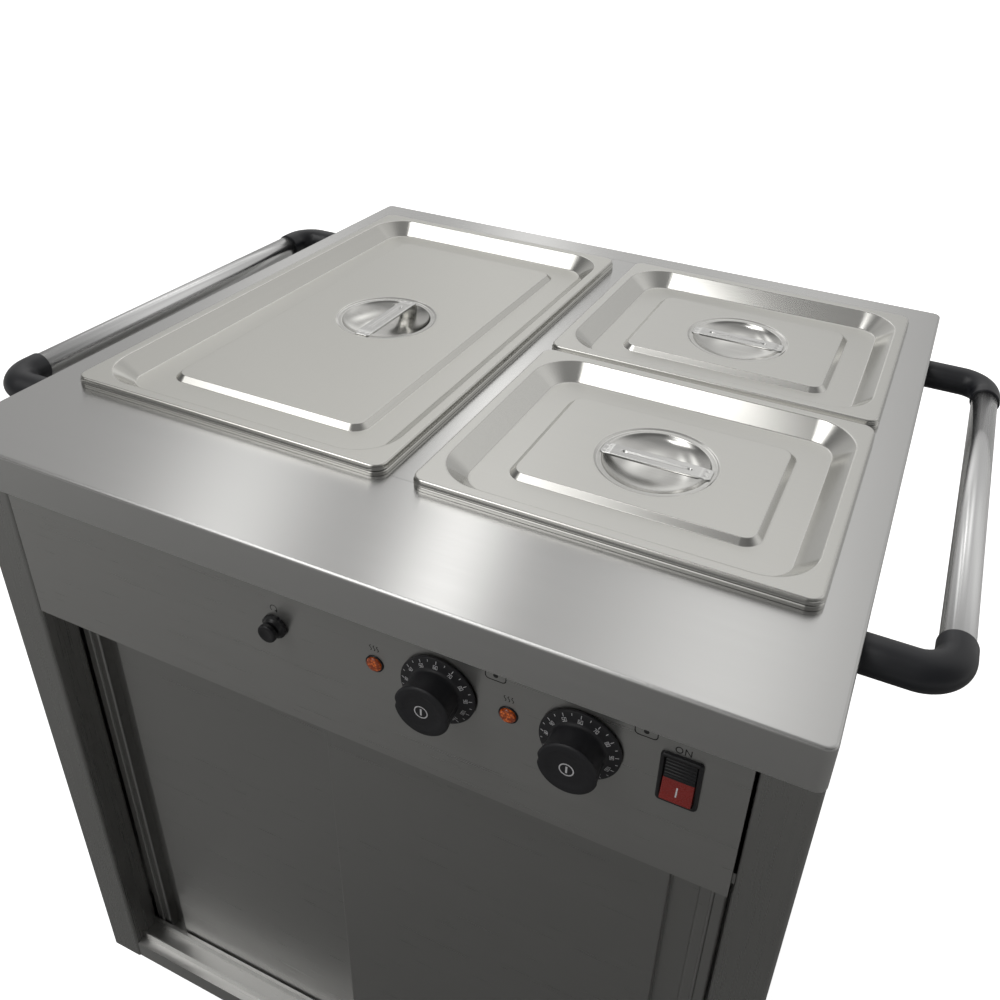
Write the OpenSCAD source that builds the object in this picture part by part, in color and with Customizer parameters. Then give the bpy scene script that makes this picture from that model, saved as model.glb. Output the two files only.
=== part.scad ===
// Mobile hot cupboard with a dry-heat bain-marie top.
// Origin: on the floor, below the middle of the body. X runs to the right, Y to the back, Z up.

/* [Overall] */
// Width of the worktop and the body
body_w = 740; // [730:1:800]
// Depth of the worktop
body_d = 700; // [690:1:760]
// Height of the worktop above the floor
top_h = 900; // [860:1:950]

/* [Worktop] */
// Height of the turned-down edge of the worktop
apron_h = 38; // [36:1:44]
// Thickness of the worktop sheet
sheet_t = 1.2; // [1:0.1:1.5]
// Radius of the worktop's corners in plan
top_corner_r = 8; // [6:0.5:10]
// Outside bend radius of the worktop's edge
top_bend_r = 2.4; // [2:0.1:3]
// Distance that the worktop's front edge stands in front of the body
front_overhang = 18; // [14:1:22]
// Worktop left in front of the well
well_front_margin = 122; // [118:1:124]

/* [Wells and pans] */
// Width of a full-size food pan over its flange
pan_w = 325; // [321:1:325]
// Depth of a full-size food pan over its flange
pan_d = 530; // [526:1:530]
// Depth of a half-size food pan over its flange
half_pan_d = 265; // [262:1:265]
// Inside depth of the food pans
pan_depth = 150; // [100:5:152]
// Strip of worktop seen between the two columns of pans
pan_gap_x = 25; // [22:1:26]
// Gap between the two half-size pans
pan_gap_y = 6; // [5:0.5:7]
// Distance that the loose pans sit to the right of the middle
pan_shift_x = 2; // [0:0.1:2]
// Overlap of a pan's flange on the edge of the well
pan_lap = 9; // [8.5:0.1:9.5]
// Thickness of the pan sheet
pan_t = 1; // [0.8:0.1:1]
// Height of the rolled edge of a pan
pan_lip_h = 4.2; // [3.8:0.1:4.6]
// Depth of the well tank below the worktop
tank_depth = 176; // [172:1:180]
// Thickness of the tank sheet
tank_t = 1.2; // [1:0.1:1.5]
// Diameter of the heating element tube
element_d = 8; // [6:0.5:8.5]

/* [Lids] */
// Thickness of the lid sheet
lid_t = 0.8; // [0.6:0.1:1]
// Height of the rolled edge of a lid
lid_lip_h = 5.2; // [4.8:0.1:5.6]
// Width of the flat flange round a lid's recess
lid_flange_w = 10; // [8:0.5:12]
// Depth of the recess below the flange
lid_recess_depth = 15; // [13:0.5:16]
// Distance from a lid's edge to its raised centre
plateau_margin = 62; // [60:1:66]
// Height of the raised centre above the recess floor
plateau_rise = 5; // [4:0.2:6]
// Diameter of the round grip dish
dish_d = 106; // [98:1:110]
// Depth of the grip dish below the raised centre
dish_depth = 14; // [12:0.5:16]
// Width of the strap handle across the dish
strap_w = 17; // [14:0.5:20]
// Thickness of the strap handle
strap_t = 1.2; // [1:0.1:1.5]

/* [Body] */
// Thickness of the body panels
panel_t = 1.2; // [1:0.1:1.5]
// Width of the front pillars
pillar_w = 41; // [38:1:44]
// Depth of the pillars' inward return
pillar_return = 33; // [31:0.5:34]
// Height of the control panel's lower edge below the worktop
panel_drop = 190; // [186:1:194]
// Gap between the control panel and a pillar
panel_gap = 2.5; // [2:0.1:3]
// Height of the body's underside above the floor
castor_h = 155; // [152:1:160]
// Height of the base tray
base_h = 25; // [22:1:28]
// Gap between the body and the cupboard lining
lining_gap = 48; // [46:1:52]

/* [Doors] */
// Thickness of a sliding door
door_t = 14; // [12:0.5:14.5]
// Overlap of the two doors in the middle
door_lap = 48; // [40:1:60]
// Width of the strip outside a door's finger pull
pull_strip_w = 21; // [18:0.5:24]
// Width of a door's finger pull
pull_w = 22; // [18:0.5:26]
// Depth of a door's finger pull
pull_depth = 10.5; // [8:0.5:11]

/* [Controls] */
// Height of the row of controls below the worktop
control_drop = 92.5; // [90:0.5:95]
// Place of the reset button from the right side of the body
reset_inset = 420; // [404:1:428]
// Place of the first lamp from the right side of the body
lamp_a_inset = 329; // [326:1:332]
// Place of the well thermostat from the right side of the body
knob_a_inset = 274; // [272:1:276]
// Place of the second lamp from the right side of the body
lamp_b_inset = 217.5; // [215:0.5:220]
// Place of the cupboard thermostat from the right side of the body
knob_b_inset = 161.5; // [159:0.5:164]
// Place of the rocker switch from the right side of the body
switch_inset = 90; // [86:1:94]
// Diameter of a dial skirt
dial_d = 62; // [56:1:64]
// Diameter of a knob's grip
knob_d = 45; // [40:1:48]
// Length of a knob in front of the control panel
knob_l = 26.5; // [22:0.5:30]
// Diameter of a thermostat spindle
spindle_d = 6; // [5:0.5:6.5]
// Diameter of an indicator lamp
lamp_d = 15.5; // [13:0.5:17]
// Width of the rocker switch bezel
switch_w = 30; // [26:0.5:32]
// Height of the rocker switch bezel
switch_h = 46; // [42:0.5:50]

/* [Handles] */
// Diameter of the handle tube
handle_d = 25; // [22:0.5:26]
// Distance of the tube's axis from the side of the body
handle_reach = 60; // [56:1:66]
// Distance of a handle's arms from the front and the back of the body
handle_setback = 117.5; // [105:0.5:125]
// Height of the tube's axis below the worktop
handle_drop = 23; // [21:0.5:23.5]
// Bend radius of an elbow
elbow_r = 25; // [23:0.5:28]
// Straight end of an elbow that takes the tube
elbow_socket = 13; // [10:0.5:16]

/* [Castors] */
// Diameter of a wheel
wheel_d = 125; // [115:1:130]
// Width of a wheel
wheel_w = 30; // [26:1:32]
// Distance of a wheel's axis behind its swivel axis
castor_trail = 36; // [32:1:40]
// Distance of a swivel axis from the side of the body
castor_side = 80; // [76:1:90]
// Distance of a swivel axis from the front or back of the body
castor_end = 100; // [96:1:110]

/* [Hidden] */

// Shared small values
cut = 0.5;
cut_through = 6;
seat_gap = 0.3;
run_gap = 0.05;
steel = [0.72, 0.72, 0.70];
bright = [0.80, 0.80, 0.79];
black = [0.12, 0.12, 0.13];
grey = [0.45, 0.45, 0.46];
amber = [0.85, 0.40, 0.10];
red = [0.60, 0.10, 0.08];
$fn = 48;

// Places that several pieces share
side_x = body_w / 2;
front_y = -body_d / 2;
back_y = body_d / 2;
face_y = front_y + front_overhang;
panel_bottom_z = top_h - panel_drop;
control_z = top_h - control_drop;
handle_z = top_h - handle_drop;
panel_half_w = side_x - pillar_w - panel_gap;
reset_x = side_x - reset_inset;
lamp_a_x = side_x - lamp_a_inset;
knob_a_x = side_x - knob_a_inset;
lamp_b_x = side_x - lamp_b_inset;
knob_b_x = side_x - knob_b_inset;
switch_x = side_x - switch_inset;
handle_span = body_d - 2 * handle_setback;

// Wells
well_y0 = front_y + well_front_margin;
pan_y0 = well_y0 - pan_lap + 2 * seat_gap;
pan_x = (pan_gap_x + pan_w) / 2;
left_pan_x = pan_shift_x - pan_x;
right_pan_x = pan_shift_x + pan_x;
well_half_w = pan_gap_x / 2 + pan_w - pan_lap;
well_y1 = well_y0 + pan_d + pan_gap_y - 2 * pan_lap;
pan_z = top_h + seat_gap;
pan_rim_z = pan_z + pan_lip_h;
lid_z = pan_rim_z + seat_gap + lid_lip_h;
full_pan_y = pan_y0 + pan_d / 2;
front_half_y = pan_y0 + half_pan_d / 2;
rear_half_y = pan_y0 + half_pan_d + pan_gap_y + half_pan_d / 2;
tank_margin = 3;
tank_flange_w = 30;
tank_half_w = well_half_w + tank_margin;
tank_y0 = well_y0 - tank_margin;
tank_y1 = well_y1 + tank_margin;
tank_top_z = top_h - sheet_t;
tank_floor_z = tank_top_z - tank_depth;
divider_tab = 27;
divider_half_w = pan_gap_x / 2 + pan_lap;

// Cupboard
floor_z = castor_h + base_h;
lining_half_w = side_x - lining_gap;
lining_t = 1;
lining_back_gap = 20;
lining_y1 = back_y - lining_back_gap;
lining_top_gap = 10;
lining_top_z = panel_bottom_z - lining_top_gap;
track_t = 1.5;
track_wall_h = 10;
front_door_y = face_y + door_t;
door_play = 6;
door_pitch = door_t + door_play;
rear_door_y = front_door_y + door_pitch;
lining_y0 = rear_door_y + door_t + 2 * track_t + cut;
opening_half_w = side_x - pillar_w;
door_gap = 3;
door_w = opening_half_w - door_gap + door_lap / 2;
door_z0 = floor_z + track_t + seat_gap;
door_head_lap = 12;
door_z1 = panel_bottom_z + door_head_lap;

// Points and shapes

// Points on an arc round c from angle a0 to angle a1 in n steps
function arc(c, r, a0, a1, n) =
    [for (i = [0:n]) c + r * [cos(a0 + (a1 - a0) * i / n), sin(a0 + (a1 - a0) * i / n)]];

// Unit normal to the right of the step from a to b
function side_normal(a, b) = let (d = b - a, l = norm(d)) [d[1], -d[0]] / l;

// Mitred normal at point i of an open path
function path_normal(p, i) =
    i == 0 ? side_normal(p[0], p[1]) :
    i == len(p) - 1 ? side_normal(p[i - 1], p[i]) :
    let (a = side_normal(p[i - 1], p[i]), b = side_normal(p[i], p[i + 1])) (a + b) / (1 + a * b);

// Closed outline of a sheet of thickness t that lies to the right of a path
function sheet_outline(p, t) =
    concat(p, [for (i = [len(p) - 1:-1:0]) p[i] + t * path_normal(p, i)]);

// Rectangle with round corners
module rounded_rect(w, d, r) {
    square([w - 2 * r, d], center = true);
    square([w, d - 2 * r], center = true);
    for (sx = [-1, 1], sy = [-1, 1])
        translate([sx * (w / 2 - r), sy * (d / 2 - r)])
            circle(r);
}

// Outline given as [inset, height] points, carried round a rectangle with round corners
module ring_sweep(w, d, r, points) {
    profile = [for (p = points) [r - p[0], p[1]]];
    for (side = [0:3]) {
        along = side % 2 == 0 ? d : w;
        across = side % 2 == 0 ? w : d;
        rotate([0, 0, 90 * side])
            translate([across / 2 - r, 0, 0]) {
                rotate([90, 0, 0])
                    linear_extrude(along - 2 * r, center = true)
                        polygon(profile);
                translate([0, along / 2 - r, 0])
                    rotate_extrude(angle = 90)
                        polygon(profile);
            }
    }
}

// Flat plate with round corners and a round-cornered hole, its top face at height zero
module frame_plate(w, d, r, hole_w, hole_d, hole_r, t) {
    translate([0, 0, -t])
        linear_extrude(t)
            difference() {
                rounded_rect(w, d, r);
                rounded_rect(hole_w, hole_d, hole_r);
            }
}

// Flat plate with round corners, its top face at height zero
module plain_plate(w, d, r, t) {
    translate([0, 0, -t])
        linear_extrude(t)
            rounded_rect(w, d, r);
}

// Block from its lowest corner to its highest
module block(lo, hi) {
    translate(lo)
        cube(hi - lo);
}

// Round bar along Y from y0 to y1
module bar_y(x, z, d, y0, y1) {
    translate([x, y0, z])
        rotate([-90, 0, 0])
            cylinder(d = d, h = y1 - y0);
}

// Turned shape whose axis points forward, with its [radius, length] outline from the panel out
module turned_front(x, y, z, outline) {
    translate([x, y, z])
        rotate([90, 0, 0])
            rotate_extrude()
                polygon(outline);
}

// Worktop

top_return = 7;

module worktop() color(steel) {
    edge = concat([[top_corner_r, 0]],
                  arc([top_bend_r, -top_bend_r], top_bend_r, 90, 180, 5),
                  [[0, -apron_h]]);
    corner_x = side_x - top_corner_r;
    difference() {
        translate([0, 0, top_h]) {
            ring_sweep(body_w, body_d, top_corner_r, sheet_outline(edge, -sheet_t));
            translate([0, 0, -sheet_t])
                linear_extrude(sheet_t)
                    square([body_w - 2 * top_corner_r, body_d - 2 * top_corner_r], center = true);
            block([-corner_x, front_y + sheet_t / 2, -apron_h],
                  [corner_x, front_y + top_return, sheet_t - apron_h]);
        }
        block([-well_half_w, well_y0, top_h - sheet_t - cut], [well_half_w, well_y1, top_h + cut]);
        block([-divider_half_w - seat_gap, well_y1 - cut, top_h - sheet_t - cut],
              [divider_half_w + seat_gap, well_y1 + divider_tab, top_h + cut]);
        handle_bolt_holes(-1);
        handle_bolt_holes(1);
    }
}

// Well

tank_corner_r = 24;
tank_floor_r = 12;

module well_tank() color(steel) {
    w = 2 * tank_half_w;
    d = tank_y1 - tank_y0;
    wall = concat([[0, 0]],
                  arc([tank_floor_r, tank_floor_r - tank_depth], tank_floor_r, 180, 270, 4),
                  [[tank_floor_r + cut, -tank_depth]]);
    translate([0, (tank_y0 + tank_y1) / 2, tank_top_z]) {
        frame_plate(w + 2 * tank_flange_w, d + 2 * tank_flange_w, tank_corner_r,
                    w, d, tank_corner_r, tank_t);
        ring_sweep(w, d, tank_corner_r, sheet_outline(wall, tank_t));
        translate([0, 0, -tank_depth])
            plain_plate(w - 2 * tank_floor_r, d - 2 * tank_floor_r,
                        tank_corner_r - tank_floor_r, tank_t);
    }
}

divider_lip = 14;

module well_divider() color(steel) {
    block([-divider_half_w, well_y0 + seat_gap, tank_top_z],
          [divider_half_w, well_y1 + divider_tab - seat_gap, top_h]);
    for (s = [-1, 1])
        block([s > 0 ? divider_half_w - sheet_t : -divider_half_w, tank_y0, tank_top_z - divider_lip],
              [s > 0 ? divider_half_w : sheet_t - divider_half_w, tank_y1, tank_top_z]);
    for (y = [tank_y0, tank_y1 - sheet_t])
        block([-divider_half_w, y, tank_top_z - divider_lip],
              [divider_half_w, y + sheet_t, tank_top_z]);
}

bar_w = 22;

module pan_support_bar() color(steel) {
    y = pan_y0 + half_pan_d + pan_gap_y / 2;
    block([divider_half_w + seat_gap, y - bar_w / 2, tank_top_z],
          [well_half_w - seat_gap, y + bar_w / 2, top_h]);
    for (s = [-1, 1])
        block([divider_half_w, y + (s > 0 ? bar_w / 2 - sheet_t : -bar_w / 2), tank_top_z - divider_lip],
              [tank_half_w, y + (s > 0 ? bar_w / 2 : sheet_t - bar_w / 2), tank_top_z]);
    for (x = [divider_half_w, tank_half_w - sheet_t])
        block([x, y - bar_w / 2, tank_top_z - divider_lip],
              [x + sheet_t, y + bar_w / 2, tank_top_z]);
}

// Tube laid in a flat zigzag of runs along X, joined by half rings
module element_zigzag(half_l, runs, pitch, d) {
    span = (runs - 1) * pitch;
    for (i = [0:runs - 1])
        translate([-half_l, i * pitch - span / 2, 0])
            rotate([0, 90, 0])
                cylinder(d = d, h = 2 * half_l);
    for (i = [0:runs - 2]) {
        s = i % 2 == 0 ? 1 : -1;
        translate([s * half_l, (i + 0.5) * pitch - span / 2, 0])
            rotate([0, 0, -90 * s])
                rotate_extrude(angle = 180)
                    translate([pitch / 2, 0])
                        circle(d = d);
    }
}

element_run_share = 0.8;
element_pitch_share = 0.17;

module well_element() color(grey) {
    z = tank_floor_z - tank_t - element_d / 2;
    translate([0, (tank_y0 + tank_y1) / 2, z])
        element_zigzag(tank_half_w * element_run_share, 5, (tank_y1 - tank_y0) * element_pitch_share,
                       element_d);
}

// Body

pillar_bend_r = 3;
rear_flange_w = 16;
side_lap = 22;
upper_corner_r = top_corner_r - sheet_t;

// Plan of the left side panel as a path on its outside, moved in by inset, with its back corner's points
function side_path(inset, corner) =
    let (x = -side_x + inset, y = face_y + inset, r = pillar_bend_r, xi = -opening_half_w,
         yb = back_y - panel_t - inset)
    concat([[x + rear_flange_w, yb]], [for (p = corner) [x, yb] + p],
           arc([x + r, y + r], r, 180, 270, 4),
           arc([xi - r, y + r], r, -90, 0, 4),
           [[xi, face_y + pillar_return]]);

// Left side wall, front pillar and pillar return, folded from one sheet
module side_shell() {
    shell_top_z = top_h - apron_h - seat_gap;
    translate([0, 0, castor_h])
        linear_extrude(shell_top_z - castor_h)
            polygon(sheet_outline(side_path(0, [[0, 0]]), -panel_t));
    translate([0, 0, shell_top_z - side_lap])
        linear_extrude(tank_top_z - top_bend_r - shell_top_z + side_lap)
            polygon(sheet_outline(side_path(panel_t, arc([upper_corner_r, -upper_corner_r],
                                                          upper_corner_r, 90, 180, 4)),
                                  -panel_t));
}

// Left side panel with its holes
module side_blank() {
    difference() {
        side_shell();
        handle_bolt_holes(-1);
        for (p = back_screw_places())
            if (p[0] < 0)
                bar_y(p[0], p[1], screw_d + 2 * run_gap, back_y - screw_l, back_y);
    }
}

module handle_bolt_holes(s) {
    for (e = [-1, 1])
        translate([s * (side_x + cut), e * handle_span / 2, handle_z])
            rotate([0, -90 * s, 0])
                cylinder(d = bolt_d + 2 * run_gap, h = sheet_t + panel_t + 2 * cut);
}

module left_side_panel() color(steel) side_blank();

module right_side_panel() color(steel) {
    mirror([1, 0, 0])
        side_blank();
}

louvre_w = 64;
louvre_h = 4;
louvre_pitch_x = 90;
louvre_pitch_z = 14;
louvre_rows = 6;
louvre_cols = 5;
back_side_gap = 6;
gland_inset = 120;
gland_x = side_x - gland_inset;
gland_z = 240;
gland_thread_d = 20;
gland_bore_d = 10;

module back_panel() color(steel) {
    difference() {
        block([-side_x + back_side_gap, back_y - panel_t, castor_h + back_side_gap],
              [side_x - back_side_gap, back_y, top_h - apron_h - seat_gap]);
        for (row = [0:louvre_rows - 1], col = [0:louvre_cols - 1])
            translate([(col - (louvre_cols - 1) / 2) * louvre_pitch_x, back_y,
                       control_z - row * louvre_pitch_z])
                cube([louvre_w, cut_through, louvre_h], center = true);
        bar_y(gland_x, gland_z, gland_thread_d + 2 * run_gap, back_y - 2 * panel_t, back_y + cut);
        for (p = back_screw_places())
            bar_y(p[0], p[1], screw_d + 2 * run_gap, back_y - 2 * panel_t, back_y + cut);
    }
}

screw_d = 4;
screw_head_d = 8;
screw_head_h = 2.2;
screw_l = 8;
screw_top_share = 0.6;
screw_inset = 13;
screw_rows = 4;

// Places of the back panel's screws as [x, z]
function back_screw_places() =
    let (z0 = castor_h + back_side_gap + screw_inset, z1 = top_h - apron_h - screw_inset)
    [for (s = [-1, 1], i = [0:screw_rows - 1])
        [s * (side_x - screw_inset), z0 + (z1 - z0) * i / (screw_rows - 1)]];

module back_screws() color(bright) {
    for (p = back_screw_places())
        translate([p[0], back_y, p[1]])
            rotate([-90, 0, 0]) {
                cylinder(d1 = screw_head_d, d2 = screw_head_d * screw_top_share, h = screw_head_h);
                translate([0, 0, -screw_l])
                    cylinder(d = screw_d, h = screw_l + cut);
            }
}

panel_fold = 10;
panel_lip = 3;
spindle_hole_gap = 0.25;
lamp_stem_share = 0.75;
lamp_stem_d = lamp_d * lamp_stem_share;
reset_thread_d = 12;
switch_lap = 2.5;
switch_cut_w = switch_w - 2 * switch_lap;
switch_cut_h = switch_h - 2 * switch_lap;

module control_panel() color(steel) {
    z1 = tank_top_z - seat_gap;
    difference() {
        union() {
            block([-panel_half_w, face_y, panel_bottom_z], [panel_half_w, face_y + panel_t, z1]);
            block([-panel_half_w, face_y, panel_bottom_z],
                  [panel_half_w, face_y + panel_lip, panel_bottom_z + panel_t]);
            for (s = [-1, 1])
                block([s > 0 ? panel_half_w - panel_t : -panel_half_w, face_y, panel_bottom_z],
                      [s > 0 ? panel_half_w : panel_t - panel_half_w, face_y + panel_fold, z1]);
        }
        for (x = [knob_a_x, knob_b_x])
            bar_y(x, control_z, bush_d + 2 * spindle_hole_gap, face_y - cut, face_y + panel_t + cut);
        for (x = [lamp_a_x, lamp_b_x])
            bar_y(x, control_z, lamp_stem_d + 2 * run_gap, face_y - cut, face_y + panel_t + cut);
        bar_y(reset_x, control_z, reset_thread_d + 2 * run_gap, face_y - cut, face_y + panel_t + cut);
        translate([switch_x, face_y, control_z])
            cube([switch_cut_w, cut_through, switch_cut_h], center = true);
    }
}

base_t = 2;
base_fold = 20;
weld_nut_d = 15;

// Places of the castors' swivel axes as [x, y]
castor_places = [for (y = [front_y + front_overhang + castor_end, back_y - castor_end],
                      x = [-side_x + castor_side, side_x - castor_side]) [x, y]];

module base_tray() color(steel) {
    x1 = side_x - panel_t;
    y0 = face_y + pillar_return;
    y1 = back_y - 2 * panel_t - seat_gap;
    xf = opening_half_w - seat_gap;
    difference() {
        union() {
            block([-x1, y0, castor_h], [x1, y1, castor_h + base_t]);
            for (s = [-1, 1])
                block([s > 0 ? x1 - base_t : -x1, y0, castor_h],
                      [s > 0 ? x1 : base_t - x1, y1, castor_h + base_fold]);
            block([-x1, y0, castor_h], [x1, y0 + base_t, floor_z]);
            block([-xf, face_y + panel_t, castor_h], [xf, y0 + base_t, castor_h + base_t]);
            block([-xf, face_y + panel_t, castor_h], [xf, face_y + panel_t + base_t, floor_z]);
            block([-xf, face_y + panel_t, floor_z - base_t], [xf, y0 + base_t, floor_z]);
            for (c = castor_places)
                translate([c[0], c[1], castor_h + base_t])
                    plate_holes(weld_nut_d, bolt_head_h);
        }
        for (c = castor_places)
            translate([c[0], c[1], castor_h - cut])
                plate_holes(bolt_d + 2 * run_gap, base_t + bolt_head_h + 2 * cut);
    }
}

// Cupboard

module cupboard_lining() color(bright) {
    x = lining_half_w;
    y0 = lining_y0;
    y1 = lining_y1;
    block([-x, y0, floor_z], [x, y1, floor_z + lining_t]);
    block([-x, y0, lining_top_z - lining_t], [x, y1, lining_top_z]);
    block([-x, y1 - lining_t, floor_z], [x, y1, lining_top_z]);
    for (s = [-1, 1]) {
        block([s > 0 ? x - lining_t : -x, y0, floor_z], [s > 0 ? x : lining_t - x, y1, lining_top_z]);
        block([s > 0 ? x - lining_t : -side_x + panel_t, y0, floor_z],
              [s > 0 ? side_x - panel_t : lining_t - x, y0 + lining_t, lining_top_z]);
    }
}

runner_w = 14;
runner_t = 1.5;
runner_level_shares = [0.32, 0.55, 0.78];
shelf_level = 1;
shelf_t = 1.2;
shelf_edge = 16;
shelf_gap = 2;
shelf_cols = 6;
shelf_rows = 7;
shelf_slot_shares = [0.6, 0.09];
lining_h = lining_top_z - floor_z;

module shelf_runners() color(bright) {
    for (level = runner_level_shares, s = [-1, 1]) {
        x = lining_half_w - lining_t;
        z = floor_z + level * lining_h;
        block([s > 0 ? x - runner_w : -x, lining_y0 + shelf_edge, z - runner_t],
              [s > 0 ? x : runner_w - x, lining_y1 - lining_t - shelf_edge, z]);
        block([s > 0 ? x - runner_t : -x, lining_y0 + shelf_edge, z - runner_w],
              [s > 0 ? x : runner_t - x, lining_y1 - lining_t - shelf_edge, z]);
    }
}

module shelf() color(bright) {
    x = lining_half_w - lining_t - shelf_gap;
    y0 = lining_y0 + shelf_edge;
    y1 = lining_y1 - lining_t - shelf_edge;
    z = floor_z + runner_level_shares[shelf_level] * lining_h;
    pitch_x = 2 * (x - runner_w) / shelf_cols;
    pitch_y = (y1 - y0) / shelf_rows;
    difference() {
        union() {
            block([-x, y0, z], [x, y1, z + shelf_t]);
            block([-x + runner_w, y0, z - shelf_edge], [x - runner_w, y0 + shelf_t, z]);
            block([-x + runner_w, y1 - shelf_t, z - shelf_edge], [x - runner_w, y1, z]);
        }
        for (i = [0:shelf_cols - 1], j = [0:shelf_rows - 1])
            translate([(i - (shelf_cols - 1) / 2) * pitch_x, y0 + (j + 0.5) * pitch_y, z])
                cube([pitch_x * shelf_slot_shares[0], pitch_x * shelf_slot_shares[1], cut_through],
                     center = true);
    }
}

cover_h = 34;
cover_half_w_share = 0.86;
cover_y_shares = [0.12, 0.88];
cover_slots = 7;
cover_slot_shares = [0.66, 0.05];

module element_cover() color(bright) {
    x = lining_half_w * cover_half_w_share;
    y0 = lining_y0 + cover_y_shares[0] * (lining_y1 - lining_y0);
    y1 = lining_y0 + cover_y_shares[1] * (lining_y1 - lining_y0);
    z0 = floor_z + lining_t;
    z1 = z0 + cover_h;
    pitch = (y1 - y0) / cover_slots;
    difference() {
        block([-x, y0, z0], [x, y1, z1]);
        block([-x + shelf_t, y0 - cut, z0 - cut], [x - shelf_t, y1 + cut, z1 - shelf_t]);
        for (i = [0:cover_slots - 1], s = [-1, 1])
            translate([s * x / 2, y0 + (i + 0.5) * pitch, z1])
                cube([x * cover_slot_shares[0], x * cover_slot_shares[1], cut_through], center = true);
    }
}

element_foot_h = 3;
element_foot_w = 6;
cupboard_run_half = 220;
cupboard_run_pitch = 80;
foot_place = 176;

module cupboard_element() color(grey) {
    half_l = cupboard_run_half;
    pitch = cupboard_run_pitch;
    z = floor_z + lining_t + element_foot_h + element_d / 2;
    translate([0, (lining_y0 + lining_y1) / 2, z]) {
        element_zigzag(half_l, 5, pitch, element_d);
        for (s = [-1, 1], i = [-2, 2])
            translate([s * foot_place, i * pitch, 0])
                block([-element_foot_w / 2, -element_foot_w / 2, -element_foot_h - element_d / 2],
                      [element_foot_w / 2, element_foot_w / 2, 0]);
    }
}

// Door tracks, each a folded strip with two slots that clear the bead on a door's face

bead_r = 1.6;

module track_strip(z, up) {
    y0 = front_door_y - bead_r - cut - track_t;
    y2 = rear_door_y + door_t + cut;
    z_wall = up > 0 ? z + track_t : z - track_t - track_wall_h;
    x = opening_half_w - seat_gap;
    block([-x, y0, min(z, z + up * track_t)], [x, y2 + track_t, max(z, z + up * track_t)]);
    for (y = [[y0, y0 + track_t],
              [front_door_y + door_t + cut, rear_door_y - bead_r - cut],
              [y2, y2 + track_t]])
        block([-x, y[0], z_wall], [x, y[1], z_wall + track_wall_h]);
}

module bottom_track() color(steel) {
    track_strip(floor_z, 1);
}

module top_track() color(steel) {
    track_strip(door_z1 + seat_gap + track_t, -1);
}

// Door outline in plan, seen from above with its outer edge at x = 0 and its face at y = 0

function door_outline() =
    let (r = 2, c = pull_strip_w, e = pull_strip_w + pull_w)
    concat([[0, door_t]],
           arc([r, r], r, 180, 270, 3),
           arc([c / 2, 0], bead_r, 180, 360, 6),
           arc([c - r, r], r, 270, 360, 3),
           [[c, pull_depth], [e, pull_depth]],
           arc([e + r, r], r, 180, 270, 3),
           arc([door_w - r, r], r, 270, 360, 3),
           [[door_w, door_t]]);

// Hollow of a door, behind its flat face
module door_hollow() {
    e = pull_strip_w + pull_w + 2 * panel_t;
    block([e, panel_t, door_z0 + panel_t], [door_w - panel_t, door_t - panel_t, door_z1 + cut]);
}

module door_blank() {
    difference() {
        translate([0, 0, door_z0])
            linear_extrude(door_z1 - door_z0)
                polygon(door_outline());
        door_hollow();
    }
}

module left_door() color(steel) {
    translate([-opening_half_w + door_gap, rear_door_y, 0])
        door_blank();
}

module right_door() color(steel) {
    translate([opening_half_w - door_gap, front_door_y, 0])
        mirror([1, 0, 0])
            door_blank();
}

// Controls

thermostat_w = 36;
thermostat_h = 42;
thermostat_l = 26;
bracket_w = 52;
bracket_h = 28;
box_corner_r = 2;
bracket_t = 1.2;
bush_d = 9.5;
knob_gap = 1.2;

module thermostat_body(x) {
    y = face_y + panel_t;
    difference() {
        union() {
            block([x - bracket_w / 2, y, control_z - bracket_h / 2],
                  [x + bracket_w / 2, y + bracket_t, control_z + bracket_h / 2]);
            translate([x, y + bracket_t + thermostat_l, control_z])
                rotate([90, 0, 0])
                    linear_extrude(thermostat_l)
                        rounded_rect(thermostat_w, thermostat_h, box_corner_r);
            bar_y(x, control_z, bush_d, face_y, y + bracket_t);
            bar_y(x, control_z - thermostat_h / 4, bush_d, y + bracket_t + thermostat_l,
                  y + bracket_t + thermostat_l + bush_d / 2);
        }
        bar_y(x, control_z, spindle_d + 2 * run_gap, face_y - cut, face_y + thermostat_l);
    }
}

module well_thermostat() color(black) thermostat_body(knob_a_x);

module cupboard_thermostat() color(black) thermostat_body(knob_b_x);

dial_rim = 1.6;
knob_waist_share = 0.93;
knob_flute_d = 9;
knob_flute_depth = 1.2;
knob_bore_share = 0.7;

// Dial skirt and grip turned about the spindle's axis, with the spindle pressed in
module knob(x) {
    l = knob_l - knob_gap;
    y = face_y - knob_gap;
    foot = 4 * dial_rim;
    bore_l = l * knob_bore_share;
    difference() {
        turned_front(x, y, control_z, concat(
            [[0, 0], [dial_d / 2 - cut, 0], [dial_d / 2, cut], [dial_d / 2, dial_rim],
             [dial_d / 2 - dial_rim, 2 * dial_rim], [knob_d / 2 + cut, 3 * dial_rim],
             [knob_d * knob_waist_share / 2, foot], [knob_d * knob_waist_share / 2, l / 2]],
            arc([knob_d / 2 - dial_rim, l - dial_rim], dial_rim, 0, 90, 4),
            [[0, l]]));
        for (a = [0, 180])
            translate([x, y - foot, control_z])
                rotate([0, a, 0])
                    translate([knob_d / 2 + knob_flute_d / 2 - knob_flute_depth, 0, 0])
                        rotate([90, 0, 0])
                            cylinder(d = knob_flute_d, h = l);
        bar_y(x, control_z, spindle_d + 2 * run_gap, y - bore_l, y + cut);
    }
    bar_y(x, control_z, spindle_d, y - bore_l + run_gap, face_y + thermostat_l - cut);
}

module well_knob() color(black) knob(knob_a_x);

module cupboard_knob() color(black) knob(knob_b_x);

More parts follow.
